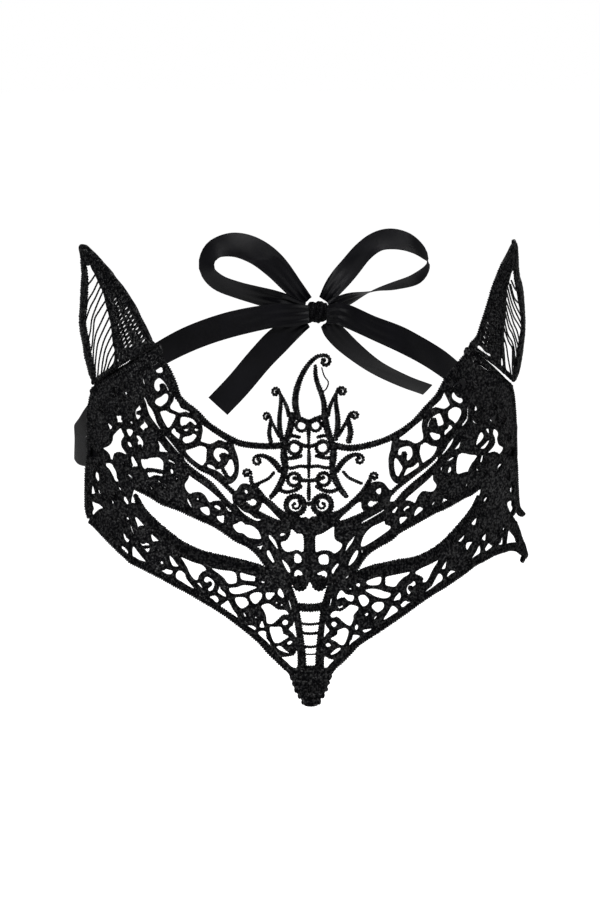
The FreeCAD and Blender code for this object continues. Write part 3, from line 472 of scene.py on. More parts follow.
# ---------------------------------------------------------------- bridge of the nose
# Below the column a collar of leaf scrolls turns outwards and a stem runs down to the nose
# ridge, which two cords hold like a ladder. The rungs are wrapped threads, the top one thick.
COLLAR_EDGE = {
    "left": [(0, 3.4), (4, 4.4), (7, 5.2), (10, 6), (12.6, 7.6), (15.4, 10.1), (18.2, 13), (20.4, 15.2),
             (22.4, 15.9), (25, 15.6), (26.8, 13.6), (28, 11.6), (26, 6.2), (20.4, 2.6), (16.6, 0.4),
             (15.6, -3.4), (17.6, -7.4), (15.6, -12), (12.6, -15), (9, -17.4), (3.2, -16.7), (0, -15.6)],
    "right": [(0, 3.4), (3.4, 4), (6.4, 5), (8.8, 6), (10.6, 7.4), (12.6, 9.4), (14.8, 11.2), (16.8, 13.4),
              (18.6, 14.8), (20.4, 15.8), (22.6, 15.6), (24, 13.6), (25.4, 12.0), (24.6, 8.4), (20.5, 4.4),
              (15.4, 1.8), (14.8, -3), (16, -6.6), (13.6, -10.8), (11.4, -13.8), (8.6, -16.6), (3.2, -16.7),
              (0, -15.6)],
}
COLLAR_HOLES = {
    "left": [
        [(10, 3.3), (11.5, 5.3), (13.5, 7.3), (16, 9), (17.5, 9.3), (17.9, 7), (19.3, 5.5), (17.8, 4),
         (14.5, 2.9), (12.5, 3.3)],
        [(19.5, 9.8), (20.5, 10.1), (21.3, 9.4), (24, 9.1), (23.8, 8), (22, 7.4), (20, 7.9), (19.4, 9)],
        [(12, -6.9), (12.8, -4.5), (14.3, -2.8), (15.4, -1.6), (14.8, -3.5), (13.5, -5.3)],
        [(15.9, -6.6), (16.6, -7.1), (16, -9), (14.5, -10.8), (13, -11.6), (13.8, -9.3), (15, -7.5)],
        [(2.2, -1.4), (4, -0.8), (6, 0.3), (8.3, 1.5), (8.4, -0.5), (8.8, -2.8), (11, -4.3), (10.5, -6),
         (8.5, -7.3), (7, -6.5), (5.5, -6.2), (4, -6.2), (2.2, -6.6), (2, -4)],
        [(3, -8.6), (4, -7.6), (5.5, -7.5), (6.4, -8.3), (6.3, -10.5), (4.8, -10.8), (3.4, -10.4)],
        [(2.6, -13.6), (4, -13), (5, -12.8), (5.9, -13.8), (5.5, -15), (4, -14.6), (2.8, -14.6)],
        [(9.5, -10.5), (9.9, -11), (8.8, -12.5), (7.8, -14), (7.3, -13), (8.3, -11.5)],
        [(22.8, 13.3), (24.3, 13.8), (24.6, 12.5), (24, 11.4), (22.6, 12.5)],
        [(17.3, 1.8), (18, 2.8), (20, 3.8), (22.5, 5), (24.5, 6), (25.5, 6.6), (25.6, 6), (24, 5.1),
         (21.5, 3.8), (19.5, 2.8), (18, 1.6)],
    ],
    "right": [
        [(9.3, 3.8), (11, 5.5), (13.3, 8), (15.3, 9.6), (15.9, 8), (16.9, 6.5), (15.8, 5.5), (14.3, 5),
         (13.3, 3.8), (12, 3.3), (10, 3.8)],
        [(17.1, 10.5), (18.3, 11.1), (19.5, 10.3), (21.3, 9.8), (20.3, 8.4), (18.8, 8.1), (17.5, 9)],
        [(13, -1), (13.3, -2), (12, -3.8), (10.5, -5.8), (10.4, -5), (11.3, -2.8)],
        [(13.3, -6.2), (14, -6.5), (13.8, -8), (12, -10.3), (11.5, -9.9), (12.5, -7.5)],
        [(2, -1.2), (4, -0.5), (5.8, 0.9), (6.3, -1), (7.5, -2.8), (9.3, -3.5), (8.8, -5.5), (7.3, -6.6),
         (5.5, -6.3), (4, -5.9), (2, -6.4)],
        [(7.8, -0.8), (8.8, -0.4), (9.9, -1), (9, -1.4)],
        [(8.8, -9.1), (8.9, -9.8), (7.8, -12), (6.8, -13.4), (6.3, -12.8), (7, -11)],
        [(2.6, -8.4), (3.8, -7.2), (4.8, -7.4), (5, -9.6), (4, -10.2), (2.8, -9.9)],
        [(2.4, -13.4), (3.8, -12.4), (4.8, -13), (5, -14.4), (3.8, -15), (2.6, -14.6)],
        [(20.3, 13.5), (21.3, 14), (21.9, 13.8), (21.3, 12.8), (20.4, 12.3)],
        [(15.9, 4), (18, 4.5), (19.5, 5.8), (21.5, 6.5), (23.3, 8), (24.5, 9.3), (24, 8.3), (22.5, 6.5),
         (20.5, 4.8), (18.5, 3.8), (16.8, 3.4)],
    ],
}
collar = Lace("bridge_collar_leaves")
for side, name in SIDES:
    collar.ground(own(side, COLLAR_EDGE[name]), [own(side, h) for h in COLLAR_HOLES[name]], thick=1.0,
                  hem=1.0)
    line = ([(0.3, 2.9), (3.6, 4.2), (7, 5), (10, 5.8), (12.6, 7.4), (15.4, 9.9), (18.2, 12.8), (20, 15.6),
             (20.8, 17)]
            if side > 0 else
            [(0.3, 2.9), (3.4, 3.8), (6.4, 4.8), (8.8, 5.8), (10.6, 7.2), (12.6, 9.2), (14.8, 11),
             (16.6, 13.4), (18.8, 16), (19.2, 18)])
    collar.cord(own(side, line), [2.6, 2.7, 2.6, 2.5, 2.4, 2.2, 2.0, 1.8, 1.5] + [1.5] * (side < 0))
    curl_at = (22.1, 17.6) if side > 0 else (-20.6, 19.2)
    collar.curl(*curl_at, 1.5, 1.1, 90 + side * 90, -side * 330)
    collar.cord(own(side, [(9.4, 20.4), (10.8, 22.4), (12.8, 24.2), (15.0, 25.2), (17.0, 25.2)]),
                [2.2, 2.2, 2.0, 1.6, 1.3])
    collar.curl(side * 16.9, 23.5, 1.7, 1.1, 90, -side * 340)
    collar.cord(own(side, [(11.6, 19.6), (13.2, 17.8), (15.4, 16.6), (17.6, 15.6)]), 1.2)
collar.cord([(0, 2.8), (0, -1.4), (0, -5.6), (0, -9.8), (0, -13), (0, -15.6)], [3.4, 3.2, 2.8, 2.4, 2.1, 2.0])
collar.lay("mask", "bridge_collar")

ridge = Lace("nose_ridge")
for s in (1, -1):
    ridge.wheel(s * 3.2, -16.7, 1.7, 2.1)
    ridge.bead(s * 3.2, -16.7, 0.9)
    ridge.cord(own(s, [(6.8, -17.2), (6.1, -20), (5.0, -23.6), (4.2, -27.4), (3.6, -31.4), (3.0, -36),
                       (2.6, -40.4), (2.6, -44.6)]), [1.9, 2.3, 2.5, 2.3, 2.2, 2.2, 2.3, 2.6])
ridge.cord([(-4.6, -24.2), (0, -24.6), (4.6, -24.2)], 2.9)
ridge.cord([(-3.6, -29.6), (0, -29.9), (3.6, -29.6)], 1.0)
ridge.cord([(-3.2, -32.6), (0, -32.9), (3.2, -32.6)], 1.1)
ridge.cord([(-2.8, -36.9), (0, -37.2), (2.8, -36.9)], 1.0)
ridge.cord([(-2.6, -39.4), (0, -39.6), (2.6, -39.4)], 0.6)
ridge.cord([(-3.4, -43.6), (0, -43.9), (3.4, -43.6)], 1.6)
ridge.lay("mask", "nose_ridge_cords")

# ---------------------------------------------------------------- brow cords and scrolls
# Two cords sweep from the bridge over each eye to the ear and hold a slit between them.
# Wheels, curls and leaves of close cord, lens-shaped openings between them, fill the band
# above; ovals of finer cord fill the row below.
ROW_EDGE = {
    "left": [(15.6, -3.4), (17, 0.6), (20.4, 2.4), (25.3, 4.8), (27.2, 8.6), (29.6, 9), (33.2, 12),
             (36.8, 14.8), (40.4, 17), (43.8, 19.4), (46, 19.6), (46.8, 14), (47.4, 8), (44, 5.4), (39, 3.4),
             (34, 1.2), (30.6, -0.4), (28, -2.4), (24, -4.4), (20.4, -6.4), (17, -6.6)],
    "right": [(14.6, -3), (15.4, 1.2), (19, 3), (22, 4.8), (24, 7.4), (26.4, 9.4), (29.8, 11.8), (32.8, 15),
              (35.6, 17), (38.8, 19), (41.2, 20.4), (43, 19), (44, 13), (46.6, 7.6), (40, 5.8), (36, 4.3),
              (32, 2.8), (28, 0.6), (24, -2), (20, -3.8), (16.4, -5)],
}
ROW_HOLES = {
    "left": [
        [(25.8, 2.6), (26, 1.5), (28, 0.4), (27.4, -0.7), (24, -2.8), (20.5, -4.7), (18.3, -5.6),
         (17.3, -5.2), (17.8, -3), (19, -1), (21, 0.8), (23.5, 1.8)],
        [(28.5, 6), (30, 7.1), (30.5, 6.6), (29.5, 5), (28.4, 5.1)],
        [(32.3, 6), (34, 7.1), (34.9, 6.4), (33.5, 5.8), (33, 5.1)],
        [(36.5, 4.8), (38, 6.4), (39.9, 5.6), (39.4, 4.8), (36.9, 3.3), (36.3, 3.7)],
        [(31, 3.3), (34, 3.3), (33.7, 2.5), (32.4, 1.5), (31.3, 1)],
        [(33, 9.2), (36, 11.6), (38.8, 13.5), (41.3, 15.3), (43.6, 16.9), (44, 14.8), (45.2, 12.9),
         (44, 11.1), (42, 11.1), (40, 11.5), (38.4, 10.3), (37.4, 8.5), (36.8, 7.7), (35, 8.6)],
        [(44.3, 8.1), (44.4, 7), (43.3, 6.2), (43, 6.8)], [(41.6, 9.4), (42, 9.1), (41.6, 8.7), (41.2, 9.1)],
    ],
    "right": [
        [(22.4, 3.2), (24, 2.4), (25.4, 1.6), (24.5, 0), (23.5, -0.7), (22, -0.9), (20.5, -2), (19, -2.4),
         (16, -2.5), (16.2, -1), (17, 0.5), (19, 1.9), (21, 2.2)],
        [(25, 6), (26, 7.5), (27.4, 8.5), (27.6, 7.5), (26.8, 6.4), (25.8, 6.1)],
        [(29.4, 7.5), (30.8, 8.3), (31.8, 7.6), (30.8, 7), (29.8, 6.6)],
        [(33.5, 7.3), (35, 7.5), (36.7, 6.8), (36, 5.6), (34.1, 4.6), (33.1, 5.1)],
        [(28.2, 4.9), (29, 4.8), (30.9, 4.4), (30.2, 3), (28.5, 2.3)],
        [(41, 10.3), (41.2, 9), (40.3, 7.4), (39.4, 6.7), (39.7, 8)],
        [(29, 10), (30.8, 11.4), (33.4, 13.5), (36.1, 15.3), (39, 17), (40.3, 17.8), (40.9, 16.4),
         (42.2, 14.2), (41.2, 12.1), (40, 11.5), (39, 12), (37, 12.3), (35.4, 11.6), (34.4, 10.4), (33.4, 9),
         (31.6, 9.6)],
        [(37, 10.3), (37.8, 10.2), (37.8, 9.7), (37, 9.6)],
    ],
}
BAND_EDGE = {
    "left": [(28.6, 29.4), (27.9, 26), (27.3, 23.7), (27.3, 20.3), (28, 17), (30, 14.8), (33, 15.6),
             (36, 16.9), (39, 18.8), (42, 20.8), (45, 23.4), (47, 26.4), (49.5, 28.8), (53, 31.6), (56, 34),
             (57, 38), (58.4, 46), (60, 52), (60.4, 56), (57, 54), (53.5, 51.2), (50.2, 48.6), (47.4, 45.2),
             (45.5, 42.6), (41, 38.9), (37, 35.3), (33, 32.7), (29.6, 31)],
    "right": [(25.4, 30.2), (24.6, 27.4), (23.6, 24.6), (23.2, 21.6), (23.7, 18), (25.7, 15.7), (28.4, 15.8),
              (30.6, 16.8), (33, 18.4), (36, 19.8), (38.4, 21.2), (40.6, 22.7), (42.6, 24.8), (44.4, 27.2),
              (46.4, 29), (48.9, 31.8), (50.4, 33.4), (52, 36.6), (53, 39.6), (55, 42), (56.4, 47),
              (58.4, 55), (52, 57.4), (49, 53.4), (47.2, 50.6), (45.6, 47), (44.2, 43.6), (41.6, 41.2),
              (38, 38.8), (34, 35.2), (30.5, 32.9), (27, 31)],
}
BAND_HOLES = {
    "left": [
        [(30.3, 24.9), (30.7, 26.4), (32.3, 27), (34.4, 27.1), (35.7, 26), (35.9, 23.9), (35, 22.6),
         (34, 22.2), (33.4, 22.8), (33.6, 24.5), (33.2, 25.3), (32.1, 25.3), (31.7, 24.3), (30.7, 24.3)],
        [(29.4, 23.5), (30.5, 22.8), (31.3, 21.6), (32.3, 19.9), (31.5, 18.3), (30.7, 17.1), (29.6, 17.8),
         (29, 19.9), (28.9, 22.4)],
        [(38, 21.5), (38.3, 20), (36.5, 18.9), (34.4, 17.8), (32.5, 17.1), (32.8, 18.3), (33.6, 19.7),
         (34.6, 19.9), (36.1, 20.3), (36.9, 21)],
        [(38.6, 27.2), (39.8, 27.8), (41.3, 27.6), (42.8, 26.6), (45.2, 26), (44.8, 24.3), (43.6, 22.8),
         (41.5, 21.8), (39.8, 21), (39, 22), (38.2, 24.5), (38.4, 26.2)],
        [(30.7, 29.9), (32.8, 31.2), (36.5, 33.7), (39, 35.3), (40, 36.2), (39.9, 35.3), (39.5, 33.3),
         (39.8, 31.2), (40, 29.1), (38.4, 28), (36.5, 27.8), (34.8, 28.7), (33.6, 29.1), (32.3, 29.1)],
        [(41.3, 33), (41.5, 34.5), (42.3, 35.3), (43.2, 36), (44.2, 36.6), (46.1, 37.1), (47.1, 36.2),
         (47.8, 34.5), (48, 33.3), (46.5, 32.8), (45.3, 32.9), (45, 34.1), (44.6, 35.3), (43.8, 35.8),
         (43, 35.3), (42.3, 34.3), (42.1, 33.3), (41.8, 32.6)],
        [(42, 30.8), (43.2, 31), (44.8, 30.5), (46.5, 29.9), (46.5, 28.7), (45, 28.2), (43.6, 28.5),
         (42.8, 29.3)],
        [(48.4, 44.6), (48.6, 43.3), (49.6, 41.6), (50.7, 39.5), (50.3, 39.1), (48.2, 38.3), (46.1, 38.7),
         (44.6, 39.1), (43.2, 38.7), (42.8, 38.9), (44.8, 40.3), (46.5, 41.6), (47.3, 42.8)],
        [(50, 33), (51.6, 31.9), (50.7, 31), (49.4, 30.1), (48.2, 29.4), (47.8, 30.3), (48.1, 31.2),
         (49.2, 31.8)],
        [(49.3, 36.5), (49.9, 37.8), (52.4, 38.6), (55.1, 37.6), (55.4, 36.1), (54.5, 34.5), (52.6, 33),
         (51.3, 34), (49.7, 35.1)],
        [(51.1, 44.5), (52, 45.9), (53.8, 47), (55.9, 47.8), (57.2, 46.8), (57.3, 45.3), (56.3, 44),
         (54.7, 44.2), (55.3, 45.1), (54.7, 46.1), (53.6, 46.1), (52.2, 45.1)],
        [(52, 43.6), (50.9, 42.6), (51.3, 41.3), (53, 40.1), (54.7, 39.5), (56.1, 40.1), (55.7, 41.1),
         (53.8, 41.7)],
    ],
    "right": [
        [(26.5, 25.8), (27.3, 26.8), (29, 27.4), (30.7, 27.3), (31.7, 26.2), (31.9, 24.9), (31.3, 23.9),
         (30.5, 23), (29.8, 22.8), (29.2, 23.5), (29.8, 25.1), (29, 25.7), (27.8, 25.8), (26.8, 25.3)],
        [(25.5, 23.8), (26.5, 23.5), (27.3, 22), (28.3, 20.8), (27.8, 19.5), (26.9, 18.5), (26.1, 18),
         (25.3, 18.7), (24.6, 20.3), (24.9, 22.4)],
        [(33.8, 21.8), (34, 20.9), (32.3, 20.2), (31.1, 19.9), (29.4, 18.9), (28.2, 17.9), (27.8, 18.5),
         (28.8, 20.1), (29.8, 20.5), (30.7, 20.1), (31.9, 21.4)],
        [(34.2, 27.2), (36.5, 27.8), (38.6, 27), (40.7, 26.3), (41.7, 25.8), (40.7, 24.4), (39, 23),
         (37.3, 21.9), (35.7, 21.3), (34.4, 22.6), (34.1, 24.9)],
        [(26.9, 29.5), (29, 30.8), (31.9, 32.6), (34.4, 34.1), (35.7, 34.8), (35.6, 32.8), (36.1, 30.3),
         (36.3, 29.3), (34.8, 28.9), (33.2, 28.5), (31.5, 29.1), (29.8, 30), (28.2, 29.5)],
        [(37.3, 34.7), (38.2, 36), (39.8, 36.8), (42.8, 37), (43.6, 35.8), (43.4, 34.3), (42.5, 33.9),
         (41.3, 34), (40.7, 34.9), (40, 35.5), (39.2, 35.3), (38.4, 34.5), (37.5, 34.2)],
        [(40.3, 33.3), (41.1, 33.5), (42.5, 33), (41.7, 32.3), (40.9, 32.4)],
        [(37.1, 33.7), (38, 33.7), (38.5, 33), (37.8, 32.5), (36.9, 33)],
        [(37.5, 31), (38.8, 31.8), (39.8, 31), (42.3, 30.3), (42.8, 29.3), (41.7, 28.3), (39.8, 28.7),
         (38.6, 29.5)],
        [(45.5, 43.8), (46.1, 42), (47.3, 39.7), (45.3, 38.7), (43.6, 38.2), (41.5, 38.7), (39.8, 38.3),
         (40, 38.9), (42.8, 39.9), (43.8, 41.6), (44.6, 43.3)],
        [(45, 37.4), (46.9, 38), (48.4, 38.7), (49.8, 38.5), (51, 38), (50.3, 36.2), (49.2, 34.3),
         (48.2, 33.1), (47.1, 33.3), (45.7, 35.3)],
        [(43.4, 31.2), (44.6, 32), (45.6, 33.2), (46.9, 31.8), (45.7, 30.6), (44, 29.5), (43.6, 30.1)],
        [(47.3, 45.4), (48.2, 47), (49.4, 48.4), (51, 49.2), (52.6, 48.3), (53.2, 46.6), (52.6, 45.1),
         (51.3, 44.7), (50.5, 45.4), (50.7, 46.8), (49.8, 47.5), (48.8, 46.9), (48, 45.4)],
        [(47.5, 43.7), (48.4, 44.3), (49.4, 44), (50.7, 43), (52.3, 42.2), (53, 40.9), (51.8, 40.1),
         (50.3, 39.9), (48.8, 40.9), (47.9, 41.8), (47.6, 42.6)],
        [(51.1, 54.5), (52.5, 53.5), (54, 52.8), (52.8, 52), (52, 50.8), (49.6, 51), (49.5, 52.3),
         (50.3, 53.5)],
    ],
}
for side, name in SIDES:
    brow = Lace("brow_upper_cord_" + name)
    if side > 0:
        brow.cord(own(side, [(5.4, 3.2), (10.4, 2.6), (15.2, 3.9), (19.8, 5.7), (23.6, 8.0), (27.2, 11.0),
                             (30.6, 13.8), (35.2, 16.7), (38.6, 18.9), (41.5, 20.6), (44.4, 22.9),
                             (46.2, 25.4), (47.8, 27.5), (50.4, 29.8), (53.6, 32.2), (56, 34.2), (56.7, 37),
                             (56.4, 39.4)]),
                  [1.6, 1.9, 2.0, 2.2, 2.1, 1.8, 1.7, 1.5, 1.6, 1.7, 1.7, 1.7, 1.7, 1.8, 1.8, 1.6, 1.5, 1.3])
    else:
        brow.cord(own(side, [(3.6, 3.2), (8.4, 2.6), (12.4, 3.9), (16.4, 5.7), (20, 8.0), (23.6, 11.3),
                             (27, 14.4), (30.4, 17.2), (33, 18.9), (36, 20.0), (38.4, 21.5), (40.6, 23.1),
                             (42.4, 25.2), (44.4, 27.9), (46.2, 29.5), (47.6, 31), (48.9, 32.3), (50.3, 33.8),
                             (51.4, 35.6), (52.1, 37.4), (52.8, 39.2), (54, 41), (55.2, 42.4)]),
                  [1.6, 1.9, 2.0, 2.2, 2.1, 2.0, 1.8, 1.6, 1.6, 1.5, 1.5, 1.5, 1.6, 1.6, 1.6, 1.5, 1.5, 1.6,
                   1.6, 1.6, 1.6, 1.6, 1.4])
    brow.lay("mask", "brow_cord_upper_" + name)

    brow = Lace("brow_lower_cord_" + name)
    if side > 0:
        brow.cord(own(side, [(10.8, -0.8), (15.6, 0.6), (20.4, 2.2), (25.3, 4.5), (29.6, 8.0), (33.2, 11.6),
                             (36.8, 14.4), (40.4, 16.7), (43.8, 19.2), (46.6, 21.3), (49, 22.9), (51.6, 25.4),
                             (53.3, 27.4), (55.7, 29.9), (58.4, 32.2), (59.6, 35), (59.7, 38)]),
                  [1.6, 1.9, 2.1, 2.2, 2.1, 2.1, 2.0, 2.0, 2.0, 1.9, 1.9, 1.8, 1.8, 1.9, 2.0, 2.0, 1.6])
    else:
        brow.cord(own(side, [(10.2, -0.8), (14, 0.6), (17.4, 2.2), (21.7, 4.5), (26.2, 8.0), (29.8, 11.8),
                             (32.8, 15.0), (35.6, 17.0), (38.8, 19.0), (41.2, 20.8), (43.6, 22.9),
                             (45.6, 24.8), (47.4, 26.6), (49.2, 28.4), (50.8, 30.4), (52.8, 32), (54.4, 33.6),
                             (55.8, 35.8), (56.9, 37.6), (57.3, 39.5), (57.9, 41.6)]),
                  [1.6, 1.9, 2.1, 2.2, 2.1, 2.1, 2.1, 2.0, 2.0, 1.9, 1.9, 1.8, 1.7, 1.7, 1.7, 1.7, 1.7, 1.7,
                   1.6, 1.6, 1.4])
    brow.lay("mask", "brow_cord_lower_" + name)

    band = Lace("brow_scrolls_" + name)
    band.ground(own(side, BAND_EDGE[name]), [own(side, h) for h in BAND_HOLES[name]], thick=1.1, hem=1.1)
    band.lay("mask", "upper_scroll_band_" + name)

    row = Lace("eye_scrolls_" + name)
    row.ground(own(side, ROW_EDGE[name]), [own(side, h) for h in ROW_HOLES[name]], thick=1.1, hem=1.0)
    ring_at, oval_at = ((23.7, 12.7), (21.8, 8.5)) if side > 0 else ((20.1, 13.2), (19.2, 9.6))
    row.wheel(side * ring_at[0], ring_at[1], 1.7, 1.2)
    row.cord(own(side, [(21.9, 14.0), (20.4, 15.4)] if side > 0 else [(18.2, 14.4), (16.8, 15.4)]), 1.2)
    row.wheel(side * oval_at[0], oval_at[1], 2.5, 1.3, tall=1.8)
    row.lay("mask", "eye_scroll_row_" + name)

